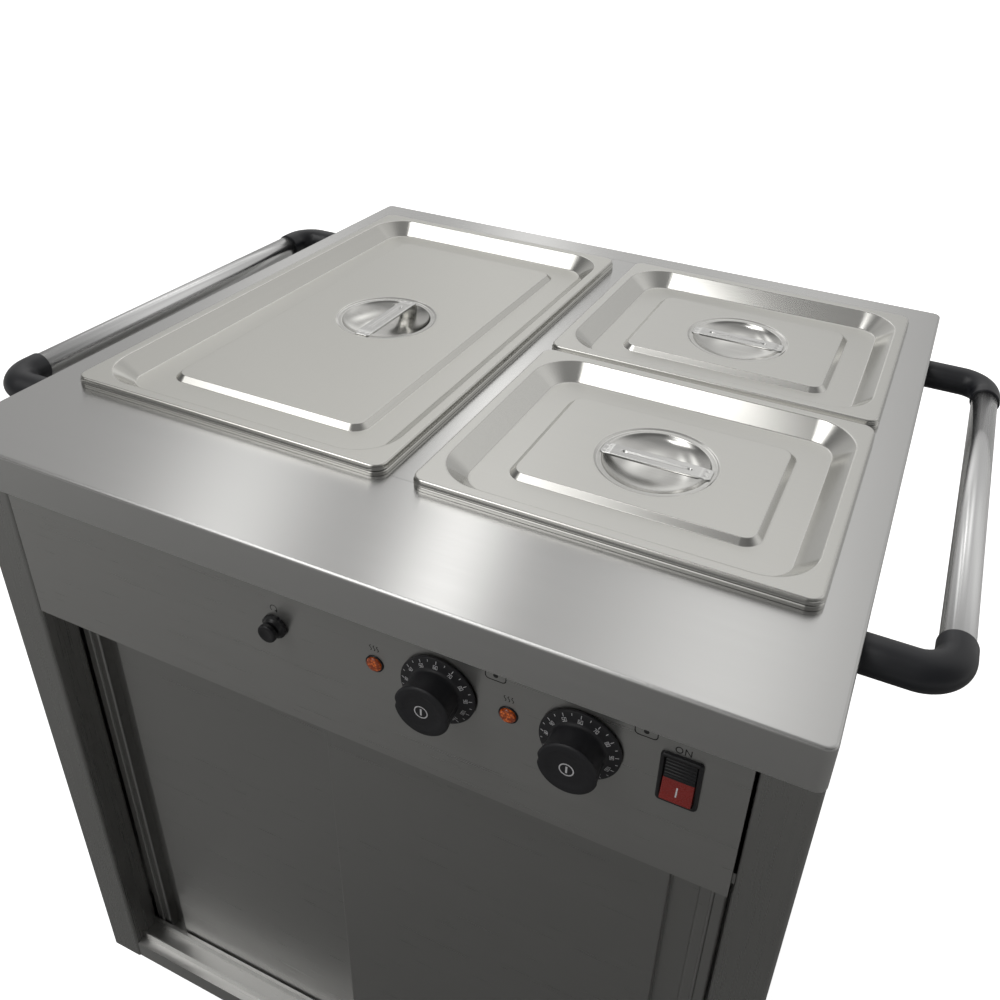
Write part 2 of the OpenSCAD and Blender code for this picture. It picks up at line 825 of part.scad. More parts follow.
cutout_w = 26;
cutout_l = 30;
nut_d = 22;
nut_h = 6;
nut_notch_d = 3;
button_d = 16.5;
button_l = 12;
button_edge_r = 2;
button_stem_d = 5;

module safety_cutout() color(black) {
    y = face_y + panel_t;
    difference() {
        union() {
            translate([reset_x, y + 2 * panel_t + cutout_l, control_z])
                rotate([90, 0, 0])
                    linear_extrude(cutout_l + 2 * panel_t)
                        rounded_rect(cutout_w, cutout_w, box_corner_r);
            bar_y(reset_x, control_z, reset_thread_d, face_y - nut_h + cut, y + cut);
        }
        bar_y(reset_x, control_z, button_stem_d + 2 * run_gap, face_y - nut_h - cut, y + cutout_l / 2);
    }
}

module reset_nut() color(black) {
    difference() {
        turned_front(reset_x, face_y, control_z,
            [[0, 0], [nut_d / 2, 0], [nut_d / 2, nut_h / 2],
             [nut_d / 2 - cut, nut_h / 2 + cut], [button_d / 2 + cut, nut_h], [0, nut_h]]);
        bar_y(reset_x, control_z, reset_thread_d + 2 * run_gap, face_y - nut_h - cut, face_y + cut);
        for (a = [0:60:300])
            translate([reset_x, face_y, control_z])
                rotate([0, a, 0])
                    translate([nut_d / 2 + cut, -nut_h - cut, 0])
                        rotate([-90, 0, 0])
                            cylinder(d = nut_notch_d, h = nut_h + 2 * cut);
    }
}

reset_travel = 2;

module reset_button() color(black) {
    y = face_y - nut_h - reset_travel - seat_gap;
    l = button_l - nut_h - reset_travel;
    turned_front(reset_x, y, control_z, concat(
        [[0, 0], [button_d / 2, 0]],
        arc([button_d / 2 - button_edge_r, l - button_edge_r], button_edge_r, 0, 90, 3),
        [[0, l]]));
    bar_y(reset_x, control_z, button_stem_d, y - cut, face_y + cutout_l / 3);
}

lamp_rise = 3.2;
lamp_step_shares = [0.3, 0.45, 0.8];
lamp_face_shares = [0.43, 0.38, 0.3];

module indicator_lamps() color(amber) {
    for (x = [lamp_a_x, lamp_b_x]) {
        turned_front(x, face_y, control_z, [
            [0, 0], [lamp_d / 2, 0], [lamp_d / 2, lamp_rise * lamp_step_shares[0]],
            [lamp_d * lamp_face_shares[0], lamp_rise * lamp_step_shares[1]],
            [lamp_d * lamp_face_shares[1], lamp_rise * lamp_step_shares[2]],
            [lamp_d * lamp_face_shares[2], lamp_rise], [0, lamp_rise]]);
        bar_y(x, control_z, lamp_stem_d, face_y - cut, face_y + panel_t + lamp_d);
    }
}

switch_rise = 3;
switch_depth = 30;
switch_wall = 3.2;
rocker_tilt = 9;
rocker_r = 11;
rocker_pin_d = 3;
rocker_pin_l = 0.8;

// Round bar across the switch on the rocker's axis
module rocker_axle(d, half_l) {
    translate([switch_x - half_l, face_y + rocker_r / 2, control_z])
        rotate([0, 90, 0])
            cylinder(d = d, h = 2 * half_l);
}

module switch_housing() color(black) {
    ow = switch_w - 2 * switch_wall;
    oh = switch_h - 2 * switch_wall;
    body_half_w = switch_cut_w / 2 - run_gap;
    body_half_h = switch_cut_h / 2 - run_gap;
    difference() {
        union() {
            translate([switch_x, face_y, control_z])
                rotate([90, 0, 0])
                    linear_extrude(switch_rise)
                        rounded_rect(switch_w, switch_h, switch_wall);
            block([switch_x - body_half_w, face_y - cut, control_z - body_half_h],
                  [switch_x + body_half_w, face_y + switch_depth, control_z + body_half_h]);
        }
        rocker_axle(rocker_pin_d + 2 * run_gap, body_half_w + cut);
        block([switch_x - ow / 2, face_y - 2 * switch_rise, control_z - oh / 2],
              [switch_x + ow / 2, face_y + switch_depth / 2, control_z + oh / 2]);
    }
}

rocker_gap = 0.6;
rocker_rib_r = 0.8;
rocker_ribs = 5;
rocker_crest = 4.2;
rocker_valley = 2.7;
rocker_root = 2.5;

// Rocker with two faces that meet at its middle, resting with its upper half pressed
module switch_rocker() color(red) {
    w = switch_w - 2 * switch_wall - 2 * rocker_gap;
    h = switch_h - 2 * switch_wall - 6 * rocker_gap;
    rib_pitch = h / 2 / (rocker_ribs + 1);
    y = -rocker_r / 2;
    rocker_axle(rocker_pin_d, switch_w / 2 - switch_wall + rocker_pin_l);
    translate([switch_x, face_y + rocker_r / 2, control_z])
        rotate([-rocker_tilt, 0, 0])
            translate([-w / 2, 0, 0])
                rotate([90, 0, 90])
                    difference() {
                        linear_extrude(w)
                            polygon([[y - rocker_crest, -h / 2], [y - rocker_valley, 0],
                                     [y - rocker_crest, h / 2], [y + rocker_root, h / 2],
                                     [-y, 0], [y + rocker_root, -h / 2]]);
                        for (i = [1:rocker_ribs])
                            translate([y - rocker_valley - rocker_rib_r / 2
                                       - (rocker_crest - rocker_valley) * i / (rocker_ribs + 1),
                                       i * rib_pitch, -cut])
                                cylinder(r = rocker_rib_r, h = w + 2 * cut);
                    }
}

terminal_w = 60;
terminal_d = 22;
terminal_h = 18;
terminal_pitch = 11;
terminal_hole_d = 6;
terminal_skin = 2;

module terminal_block() color(grey) {
    x = gland_x - terminal_w;
    z = castor_h + base_t;
    y1 = back_y - 2 * panel_t - terminal_skin;
    difference() {
        block([x - terminal_w / 2, y1 - terminal_d, z], [x + terminal_w / 2, y1, z + terminal_h]);
        for (i = [0:4])
            translate([x + (i - 2) * terminal_pitch, y1 - terminal_d / 2, z + terminal_skin])
                cylinder(d = terminal_hole_d, h = terminal_h);
    }
}

gland_nut_d = 27;
gland_out = 10;
gland_nut_h = 6;
gland_thread_l = 8;
gland_step_shares = [0.5, 0.7];
gland_face_shares = [0.42, 0.36];

module cable_gland() color(black) {
    difference() {
        union() {
            bar_y(gland_x, gland_z, gland_thread_d, back_y - panel_t - gland_thread_l, back_y + cut);
            translate([gland_x, back_y, gland_z])
                rotate([-90, 0, 0])
                    rotate_extrude()
                        polygon([[0, 0], [gland_nut_d / 2, 0],
                                 [gland_nut_d / 2, gland_out * gland_step_shares[0]],
                                 [gland_nut_d * gland_face_shares[0], gland_out * gland_step_shares[1]],
                                 [gland_nut_d * gland_face_shares[1], gland_out], [0, gland_out]]);
            bar_y(gland_x, gland_z, gland_nut_d, back_y - panel_t - gland_nut_h, back_y - panel_t);
        }
        bar_y(gland_x, gland_z, gland_bore_d, back_y - panel_t - gland_thread_l - cut,
              back_y + gland_out + cut);
    }
}

// Handles

handle_wall = 1.5;
elbow_half_w = 15;
elbow_half_h = 14.2;
socket_half = 14;
elbow_steps = 7;
elbow_sides = 20;
elbow_ridge_share = 0.07;
tube_half_l = handle_span / 2 - elbow_r - elbow_socket;

module handle_tube(s) {
    translate([s * (side_x + handle_reach), -tube_half_l, handle_z])
        rotate([-90, 0, 0])
            difference() {
                cylinder(d = handle_d, h = 2 * tube_half_l);
                translate([0, 0, -cut])
                    cylinder(d = handle_d - 2 * handle_wall, h = 2 * tube_half_l + 2 * cut);
            }
}

// Stations of an elbow as [x, y, heading, half width, half height], from the body out to the tube
function elbow_stations() =
    let (arm = handle_reach - elbow_r)
    concat([[0, 0, 0, elbow_half_w, elbow_half_h],
            [arm / 2, 0, 0, elbow_half_w, elbow_half_h]],
           [for (i = [0:elbow_steps])
               let (a = 90 * i / elbow_steps, k = i / elbow_steps)
               [arm + elbow_r * sin(a), elbow_r * (1 - cos(a)), a,
                elbow_half_w + (socket_half - elbow_half_w) * k,
                elbow_half_h + (socket_half - elbow_half_h) * k]],
           [[handle_reach, elbow_r + elbow_socket, 90, socket_half, socket_half]]);

// Distance factor of the section's outline, with a soft ridge on its outer side
function ridge(a) = 1 + elbow_ridge_share * pow(max(0, cos(a - 190)), 6);

module elbow_loft() {
    st = elbow_stations();
    n = elbow_sides;
    points = [for (q = st, j = [0:n - 1])
        let (a = 360 * j / n, u = q[3] * cos(a) * ridge(a), v = q[4] * sin(a) * ridge(a))
        [q[0] - u * sin(q[2]), q[1] + u * cos(q[2]), v]];
    last = (len(st) - 1) * n;
    faces = concat([[for (j = [0:n - 1]) j]],
                   [for (i = [0:len(st) - 2], j = [0:n - 1], t = [0, 1])
                       let (a = i * n + j, b = i * n + (j + 1) % n)
                       t == 0 ? [a, a + n, b] : [b, a + n, b + n]],
                   [[for (j = [n - 1:-1:0]) last + j]]);
    polyhedron(points, faces);
}

spigot_l = 20;

// Elbow at the front of the right side, with its spigot in the tube
module elbow_blank() {
    difference() {
        translate([side_x, -handle_span / 2, handle_z])
            elbow_loft();
        translate([side_x - cut, -handle_span / 2, handle_z])
            rotate([0, 90, 0])
                cylinder(d = bolt_d + 2 * run_gap, h = bolt_grip + 2 * cut);
    }
    bar_y(side_x + handle_reach, handle_z, handle_d - 2 * handle_wall - 2 * run_gap,
          -tube_half_l - cut, -tube_half_l + spigot_l);
}

module elbow(left, rear) {
    mirror([left, 0, 0])
        mirror([0, rear, 0])
            elbow_blank();
}

// Bolts that hold the handles and the castors

bolt_d = 8;
bolt_head_d = 13;
bolt_head_h = 5.3;
bolt_grip = 14;
plate_w = 80;
plate_l = 105;
plate_t = 3;
plate_pitch_x = 60;
plate_pitch_y = 80;

module bolt(grip) {
    translate([0, 0, -bolt_head_h])
        cylinder(d = bolt_head_d, h = bolt_head_h);
    cylinder(d = bolt_d, h = grip);
}

module plate_holes(d, h) {
    for (sx = [-1, 1], sy = [-1, 1])
        translate([sx * plate_pitch_x / 2, sy * plate_pitch_y / 2, 0])
            cylinder(d = d, h = h);
}

module frame_bolts() color(bright) {
    for (s = [-1, 1], e = [-1, 1])
        translate([s * (side_x - panel_t - panel_t), e * handle_span / 2, handle_z])
            rotate([0, 90 * s, 0])
                bolt(2 * panel_t + bolt_grip);
    for (c = castor_places, sx = [-1, 1], sy = [-1, 1])
        translate([c[0] + sx * plate_pitch_x / 2, c[1] + sy * plate_pitch_y / 2, castor_h - plate_t])
            bolt(plate_t + base_t + bolt_head_h);
}

// Castors

swivel_gap = 0.3;
kingpin_d = 12;
kingpin_head_d = 19;
kingpin_head_h = 5;
crown_d = 62;
crown_front = 19;
crown_rear = 26;
fork_t = 3;
fork_gap = 3;
fork_half = wheel_w / 2 + fork_gap;
fork_foot_r = 11;
axle_d = 10;
axle_nut_d = 16;
axle_nut_h = 4;
axle_z = wheel_d / 2;
plate_z = castor_h - plate_t;
plate_corner_r = 12;
race_d = 50;
race_h = 5;
crown_z = plate_z - race_h - swivel_gap;
pedal_pin_d = 6;
pedal_pin_back = 3;
pedal_pin_y = castor_trail + pedal_pin_back;
pedal_pin_rise = 9;
pedal_pin_z = wheel_d + pedal_pin_rise;

module castor_plates() color(bright) {
    head_z = crown_z - fork_t - swivel_gap - kingpin_head_h;
    for (c = castor_places)
        translate([c[0], c[1], 0])
            difference() {
                union() {
                    translate([0, 0, castor_h])
                        plain_plate(plate_w, plate_l, plate_corner_r, plate_t);
                    translate([0, 0, plate_z - race_h])
                        cylinder(d1 = race_d - race_h, d2 = race_d, h = race_h);
                    translate([0, 0, head_z])
                        cylinder(d = kingpin_d, h = plate_z - head_z);
                    translate([0, 0, head_z])
                        cylinder(d = kingpin_head_d, h = kingpin_head_h);
                }
                translate([0, 0, plate_z - cut])
                    plate_holes(bolt_d + 2 * run_gap, plate_t + 2 * cut);
            }
}

ear_y = 14;
ear_low = 12;
ear_high = 7;
leg_drop = 14;

// Leg of a fork seen from the side, with its foot round the axle and its ear round the pedal pin
module fork_leg_outline() {
    foot = fork_foot_r;
    difference() {
        union() {
            polygon([[-crown_front, crown_z], [crown_rear, crown_z],
                     [castor_trail + ear_y, pedal_pin_z + ear_high],
                     [castor_trail + ear_y, pedal_pin_z - ear_low],
                     [castor_trail + foot, axle_z], [castor_trail - foot, axle_z],
                     [castor_trail - foot, axle_z + foot], [-crown_front, crown_z - leg_drop]]);
            translate([castor_trail, axle_z])
                circle(foot);
        }
        translate([castor_trail, axle_z])
            circle(d = axle_d + 2 * run_gap);
        translate([pedal_pin_y, pedal_pin_z])
            circle(d = pedal_pin_d + 2 * run_gap);
    }
}

// Bar along X through the middle plane of a castor
module cross_bar(y, z, d, half) {
    translate([-half, y, z])
        rotate([0, 90, 0])
            cylinder(d = d, h = 2 * half);
}

module fork(c) {
    out = fork_half + fork_t;
    translate([c[0], c[1], 0]) {
        difference() {
            union() {
                translate([0, 0, crown_z - fork_t])
                    cylinder(d = crown_d, h = fork_t);
                block([-out, -crown_front, crown_z - fork_t], [out, crown_rear, crown_z]);
                for (x = [-out, fork_half])
                    translate([x, 0, 0])
                        rotate([90, 0, 90])
                            linear_extrude(fork_t)
                                fork_leg_outline();
            }
            translate([0, 0, crown_z - fork_t - cut])
                cylinder(d = kingpin_d + 2 * run_gap, h = fork_t + 2 * cut);
        }
        cross_bar(castor_trail, axle_z, axle_d, out + run_gap + axle_nut_h);
        for (x = [-out - run_gap - axle_nut_h, out + run_gap])
            translate([x, castor_trail, axle_z])
                rotate([0, 90, 0])
                    cylinder(d = axle_nut_d, h = axle_nut_h);
    }
}

tyre_share = 0.2;
hub_d = 30;
web_share = 0.3;
tyre_edge_r = 4;
hub_gap = 0.4;

module wheel(c) {
    r = wheel_d / 2;
    rim = r * (1 - tyre_share);
    hw = wheel_w / 2;
    web = hw * web_share;
    edge = tyre_edge_r;
    hub = fork_half - hub_gap;
    translate([c[0], c[1] + castor_trail, axle_z])
        rotate([0, 90, 0])
            difference() {
                rotate_extrude()
                    polygon(concat(
                        [[0, -hub], [hub_d / 2, -hub], [hub_d / 2, -web], [rim - edge, -web], [rim, -hw]],
                        arc([r - edge, -hw + edge], edge, -90, 0, 4),
                        arc([r - edge, hw - edge], edge, 0, 90, 4),
                        [[rim, hw], [rim - edge, web], [hub_d / 2, web], [hub_d / 2, hub], [0, hub]]));
                translate([0, 0, -fork_half])
                    cylinder(d = axle_d + 2 * run_gap, h = 2 * fork_half);
            }
}

pedal_w = 26;
pedal_t = 4;
pedal_hub_d = 12;
pedal_tread_y = 62;
pedal_tread_drop = 10;
pedal_end_y = 80;
pedal_end_drop = 20;

// Brake pedal behind a front wheel, on a pin through the fork's ears
module brake_pedal(c) {
    y = pedal_pin_y;
    z = pedal_pin_z;
    r = pedal_hub_d / 2;
    translate([c[0], c[1], 0]) {
        difference() {
            union() {
                translate([-pedal_w / 2, 0, 0])
                    rotate([90, 0, 90])
                        linear_extrude(pedal_w)
                            polygon([[y, z - r + pedal_t], [y + r, z - r + pedal_t],
                                     [y + pedal_tread_y, z - pedal_tread_drop],
                                     [y + pedal_end_y, z - pedal_end_drop],
                                     [y + pedal_end_y, z - pedal_end_drop + pedal_t],
                                     [y + pedal_tread_y, z - pedal_tread_drop + pedal_t],
                                     [y, z + r]]);
                cross_bar(y, z, pedal_hub_d, fork_half - hub_gap);
            }
            cross_bar(y, z, pedal_pin_d + 2 * run_gap, fork_half);
        }
    }
}

// Pans and lids

pan_corner_r = 12;
pan_throat_r = 42;
pan_draft = 10;
pan_floor_r = 12;

lip_r = 2.2;
lip_flat = 5;
pan_throat = 9;
pan_bend_r = 4;

// Outline of a rolled edge whose top is at height zero
function lip_outline(h, t) =
    sheet_outline(concat([[lip_flat + cut, 0]], arc([lip_r, -lip_r], lip_r, 90, 180, 4), [[0, -h]]), -t);

module pan(x, y, w, d) {
    reach = pan_bend_r + pan_draft + pan_floor_r;
    wall = concat([[-cut, 0]],
                  arc([0, -pan_bend_r], pan_bend_r, 90, 0, 4),
                  arc([reach, -pan_depth + pan_floor_r], pan_floor_r, 180, 270, 4),
                  [[reach + cut, -pan_depth]]);
    throat_w = w - 2 * pan_throat;
    throat_d = d - 2 * pan_throat;
    translate([x, y, pan_rim_z]) {
        ring_sweep(w, d, pan_corner_r, lip_outline(pan_lip_h, pan_t));
        frame_plate(w - 2 * lip_flat, d - 2 * lip_flat, pan_corner_r - lip_flat,
                    throat_w, throat_d, pan_throat_r, pan_t);
        ring_sweep(throat_w, throat_d, pan_throat_r, sheet_outline(wall, pan_t));
        translate([0, 0, -pan_depth])
            plain_plate(throat_w - 2 * reach, throat_d - 2 * reach, pan_throat_r - reach, pan_t);
    }
}

lid_recess_r = 42;
lid_slope = 14;
lid_bend_r = 3;
plateau_step = 6.5;
plateau_r = 10;
plateau_knee_shares = [0.3, 0.12];

// Pressed lid: rolled edge, flange, recess, raised centre and grip dish
module lid(x, y, w, d) {
    rw = w - 2 * lid_flange_w;
    rd = d - 2 * lid_flange_w;
    reach = lid_slope + 2 * lid_bend_r;
    pw = w - 2 * plateau_margin;
    pd = d - 2 * plateau_margin;
    step = plateau_step;
    knee = [step * plateau_knee_shares[0], plateau_rise * plateau_knee_shares[1]];
    wall = concat([[-cut, 0]],
                  arc([0, -lid_bend_r], lid_bend_r, 90, 35, 3),
                  arc([reach, -lid_recess_depth + lid_bend_r], lid_bend_r, 215, 270, 3),
                  [[reach + cut, -lid_recess_depth]]);
    rise = [[-step - cut, 0], [-step, 0], [-step + knee[0], knee[1]],
            [-knee[0], plateau_rise - knee[1]], [0, plateau_rise], [cut, plateau_rise]];
    translate([x, y, lid_z]) {
        ring_sweep(w, d, pan_corner_r, lip_outline(lid_lip_h, lid_t));
        frame_plate(w - 2 * lip_flat, d - 2 * lip_flat, pan_corner_r - lip_flat,
                    rw, rd, lid_recess_r, lid_t);
        ring_sweep(rw, rd, lid_recess_r, sheet_outline(wall, lid_t));
        translate([0, 0, -lid_recess_depth]) {
            frame_plate(rw - 2 * reach, rd - 2 * reach, lid_recess_r - reach,
                        pw + 2 * step, pd + 2 * step, plateau_r + step, lid_t);
            ring_sweep(pw, pd, plateau_r, sheet_outline(rise, lid_t));
            translate([0, 0, plateau_rise]) {
                translate([0, 0, -lid_t])
                    linear_extrude(lid_t)
                        difference() {
                            rounded_rect(pw, pd, plateau_r);
                            circle(d = dish_d);
                        }
                dish();
            }
        }
    }
}

ledge_drop = 1.4;
ledge_w = 6;
dish_floor_share = 0.25;
dish_steps = 7;

// Grip dish: a narrow ledge round a bowl, its rim at height zero
module dish() {
    r = dish_d / 2;
    bowl_r = r - ledge_w;
    fall = dish_depth - ledge_drop;
    bowl = [for (i = [0:dish_steps])
        [bowl_r * (1 - (1 - dish_floor_share) * i / dish_steps),
         -ledge_drop - fall * sin(90 * i / dish_steps)]];
    path = concat([[r + cut, 0], [r, 0], [r - ledge_drop, -ledge_drop]], bowl, [[0, -dish_depth]]);
    rotate_extrude()
        polygon(sheet_outline(path, -lid_t));
}

strap_l_share = 0.92;
strap_lift = 3;
strap_foot = 9;
strap_slope = 6;
strap_side = 2.4;
groove_w = 4;
groove_share = 0.5;
groove_depth = 0.6;
dimple_depth = 0.9;

// Strap handle across the dish, its ends on the dish's ledge
module strap(x, y, turn) {
    l = dish_d * strap_l_share / 2;
    flat = l - strap_foot;
    mid = flat - strap_slope;
    z = lid_z - lid_recess_depth + plateau_rise - ledge_drop + strap_t;
    path = [[-l, 0], [-flat, 0], [-mid, strap_lift], [mid, strap_lift], [flat, 0], [l, 0]];
    translate([x, y, z])
        rotate([0, 0, turn])
            difference() {
                union() {
                    translate([0, strap_w / 2, 0])
                        rotate([90, 0, 0])
                            linear_extrude(strap_w)
                                polygon(sheet_outline(path, strap_t));
                    for (s = [-1, 1])
                        block([-mid, s > 0 ? strap_w / 2 - strap_t : -strap_w / 2, strap_lift - strap_side],
                              [mid, s > 0 ? strap_w / 2 : strap_t - strap_w / 2, strap_lift]);
                }
                block([-mid * groove_share, -groove_w / 2, strap_lift - groove_depth],
                      [mid * groove_share, groove_w / 2, strap_lift + cut]);
                for (s = [-1, 1])
                    translate([s * mid * groove_share, 0, strap_lift - dimple_depth])
                        cylinder(d = groove_w, h = dimple_depth + cut);
            }
}

module full_pan() color(bright) pan(left_pan_x, full_pan_y, pan_w, pan_d);
module front_half_pan() color(bright) pan(right_pan_x, front_half_y, pan_w, half_pan_d);
module rear_half_pan() color(bright) pan(right_pan_x, rear_half_y, pan_w, half_pan_d);
module full_lid() color(bright) lid(left_pan_x, full_pan_y, pan_w, pan_d);
module front_half_lid() color(bright) lid(right_pan_x, front_half_y, pan_w, half_pan_d);
module rear_half_lid() color(bright) lid(right_pan_x, rear_half_y, pan_w, half_pan_d);
module full_lid_strap() color(bright) strap(left_pan_x, full_pan_y, 90);
module front_half_lid_strap() color(bright) strap(right_pan_x, front_half_y, 0);
module rear_half_lid_strap() color(bright) strap(right_pan_x, rear_half_y, 0);

worktop();
well_tank();
well_divider();
pan_support_bar();
well_element();
left_side_panel();
right_side_panel();
back_panel();
control_panel();
base_tray();
cupboard_lining();
shelf();
shelf_runners();
cupboard_element();
element_cover();
top_track();
bottom_track();
well_thermostat();
cupboard_thermostat();
safety_cutout();
reset_nut();
indicator_lamps();
switch_housing();
terminal_block();
cable_gland();
color(bright) handle_tube(-1);  // left_handle_tube
color(bright) handle_tube(1);  // right_handle_tube
color(black) elbow(1, 0);  // left_front_elbow
color(black) elbow(1, 1);  // left_rear_elbow
color(black) elbow(0, 0);  // right_front_elbow
color(black) elbow(0, 1);  // right_rear_elbow
back_screws();
frame_bolts();
castor_plates();
left_door();
right_door();
well_knob();
cupboard_knob();
reset_button();
switch_rocker();
full_pan();
front_half_pan();
rear_half_pan();
full_lid();
front_half_lid();
rear_half_lid();
full_lid_strap();
front_half_lid_strap();
rear_half_lid_strap();
color(bright) fork(castor_places[0]);  // front_left_fork
color(bright) fork(castor_places[1]);  // front_right_fork
color(bright) fork(castor_places[2]);  // rear_left_fork
color(bright) fork(castor_places[3]);  // rear_right_fork
color(grey) wheel(castor_places[0]);  // front_left_wheel
color(grey) wheel(castor_places[1]);  // front_right_wheel
color(grey) wheel(castor_places[2]);  // rear_left_wheel
color(grey) wheel(castor_places[3]);  // rear_right_wheel
color(bright) brake_pedal(castor_places[0]);  // left_brake_pedal
color(bright) brake_pedal(castor_places[1]);  // right_brake_pedal
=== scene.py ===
import math

import bmesh
import bpy
from mathutils import Matrix, Vector


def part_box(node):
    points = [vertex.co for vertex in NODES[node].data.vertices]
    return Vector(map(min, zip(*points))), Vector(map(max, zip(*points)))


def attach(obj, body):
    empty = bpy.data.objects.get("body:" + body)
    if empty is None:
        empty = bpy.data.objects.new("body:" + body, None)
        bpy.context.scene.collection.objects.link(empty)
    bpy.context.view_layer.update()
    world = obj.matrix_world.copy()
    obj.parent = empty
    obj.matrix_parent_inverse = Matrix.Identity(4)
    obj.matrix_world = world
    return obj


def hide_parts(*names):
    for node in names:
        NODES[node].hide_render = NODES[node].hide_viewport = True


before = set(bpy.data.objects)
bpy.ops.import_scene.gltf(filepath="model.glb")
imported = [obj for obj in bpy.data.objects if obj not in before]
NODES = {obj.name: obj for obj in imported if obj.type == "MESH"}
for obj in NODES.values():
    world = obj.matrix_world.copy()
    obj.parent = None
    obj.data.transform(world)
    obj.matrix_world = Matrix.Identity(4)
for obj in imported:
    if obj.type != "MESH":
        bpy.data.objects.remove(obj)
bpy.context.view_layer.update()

MM = 0.001


def corner_mm(node):
    """Lowest and highest corner of a CAD node in millimetres."""
    lo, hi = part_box(node)
    return [c * 1000 for c in lo], [c * 1000 for c in hi]


# Materials


class Tree:
    """Short helper for building a node material."""

    def __init__(self, name):
        self.mat = bpy.data.materials.new(name)
        self.mat.use_nodes = True
        self.nt = self.mat.node_tree
        self.nt.nodes.clear()
        self.out = self.nt.nodes.new("ShaderNodeOutputMaterial")
        self.bsdf = self.nt.nodes.new("ShaderNodeBsdfPrincipled")
        self.link(self.bsdf.outputs[0], self.out.inputs[0])

    def link(self, a, b):
        self.nt.links.new(a, b)

    def node(self, kind, **values):
        n = self.nt.nodes.new(kind)
        for key, value in values.items():
            if hasattr(n, key):
                setattr(n, key, value)
            else:
                n.inputs[key.replace("_", " ")].default_value = value
        return n

    def put(self, n, index, value):
        """Sets or links input index of node n."""
        if hasattr(value, "is_output"):
            self.link(value, n.inputs[index])
        else:
            n.inputs[index].default_value = value

    def math(self, operation, a, b):
        n = self.node("ShaderNodeMath", operation=operation)
        self.put(n, 0, a)
        self.put(n, 1, b)
        return n.outputs[0]

    def vector(self, operation, a, b):
        n = self.node("ShaderNodeVectorMath", operation=operation)
        self.put(n, 0, a)
        self.put(n, 1, b)
        return n.outputs[0]

    def coord(self):
        return self.node("ShaderNodeTexCoord").outputs["Object"]

    def noise(self, vector, scale, detail=3.0, rough=0.5, stretch=None):
        if stretch is not None:
            vector = self.vector("MULTIPLY", vector, stretch)
        n = self.node("ShaderNodeTexNoise")
        self.link(vector, n.inputs["Vector"])
        n.inputs["Scale"].default_value = scale
        n.inputs["Detail"].default_value = detail
        n.inputs["Roughness"].default_value = rough
        return n.outputs["Fac"]

    def span(self, value, lo, hi, out_lo, out_hi):
        n = self.node("ShaderNodeMapRange")
        self.put(n, 0, value)
        for i, v in enumerate((lo, hi, out_lo, out_hi), 1):
            n.inputs[i].default_value = v
        return n.outputs[0]

    def mix(self, fac, a, b):
        n = self.node("ShaderNodeMix", data_type="RGBA")
        self.put(n, 0, fac)
        self.put(n, 6, a)
        self.put(n, 7, b)
        return n.outputs[2]

    def bump(self, height, strength, distance):
        n = self.node("ShaderNodeBump")
        n.inputs["Strength"].default_value = strength
        n.inputs["Distance"].default_value = distance
        self.link(height, n.inputs["Height"])
        self.link(n.outputs[0], self.bsdf.inputs["Normal"])

    def surface(self, name, value):
        i = self.bsdf.inputs[name]
        if hasattr(value, "is_output"):
            self.link(value, i)
        else:
            i.default_value = value


def grey(v, warm=0.0):
    """A grey of value v, with its blue drawn down where warm is above 0."""
    return (v * (1 + 0.3 * warm), v, v * (1 - 1.7 * warm), 1.0)


GRAIN_AXIS = {"X": (1, 0, 0), "Y": (0, 1, 0), "Z": (0, 0, 1)}
LINE_STRETCH = 0.012  # scale of the noise along the grain, against 1 across it
OFF_GRAIN = (0.02, 0.013, 0.017)  # tilt of the grain, so that a face square to it has a tangent too


def steel(name, grain="X", tone=0.62, warm=0.012, rough=(0.24, 0.36), aniso=0.75, depth=0.06,
          fine=900.0, mottle=0.06, bend_rough=None):
    """Brushed sheet whose grain lines run along one axis, its bends smoother where bend_rough is given."""
    t = Tree(name)
    co = t.coord()
    axis = GRAIN_AXIS[grain]
    along = [LINE_STRETCH if a else 1.0 for a in axis]
    lines = t.noise(co, fine, 2.0, 0.6, along)
    long_lines = t.noise(co, fine * 0.22, 2.0, 0.5, along)
    cloud = t.noise(co, 6.0, 2.0, 0.5)
    both = t.math("ADD", t.math("MULTIPLY", lines, 0.6), t.math("MULTIPLY", long_lines, 0.4))
    tone_in = t.math("ADD", t.math("MULTIPLY", both, 0.8), t.math("MULTIPLY", cloud, 0.2))
    shade = t.span(tone_in, 0.3, 0.7, 0.0, 1.0)
    dark, light = grey(tone * (1 - mottle), warm), grey(tone * (1 + mottle), warm)
    t.surface("Base Color", t.mix(shade, dark, light))
    t.surface("Metallic", 1.0)
    normal = t.node("ShaderNodeNewGeometry").outputs["Normal"]
    if bend_rough is None:
        t.surface("Roughness", t.span(both, 0.3, 0.7, rough[0], rough[1]))
    else:
        split = t.node("ShaderNodeSeparateXYZ")
        t.link(normal, split.inputs[0])
        flat = t.span(split.outputs[2], 0.88, 0.99, 0.0, 1.0)
        wide = t.span(both, 0.3, 0.7, rough[0] - bend_rough, rough[1] - bend_rough)
        t.surface("Roughness", t.math("ADD", t.math("MULTIPLY", wide, flat), bend_rough))
    t.surface("Anisotropic", aniso)
    way = t.node("ShaderNodeCombineXYZ")
    for i, a in enumerate(axis):
        way.inputs[i].default_value = float(a) if a else OFF_GRAIN[i]
    t.link(t.vector("CROSS_PRODUCT", normal, way.outputs[0]), t.bsdf.inputs["Tangent"])
    t.bump(both, depth, 0.0003)
    return t.mat


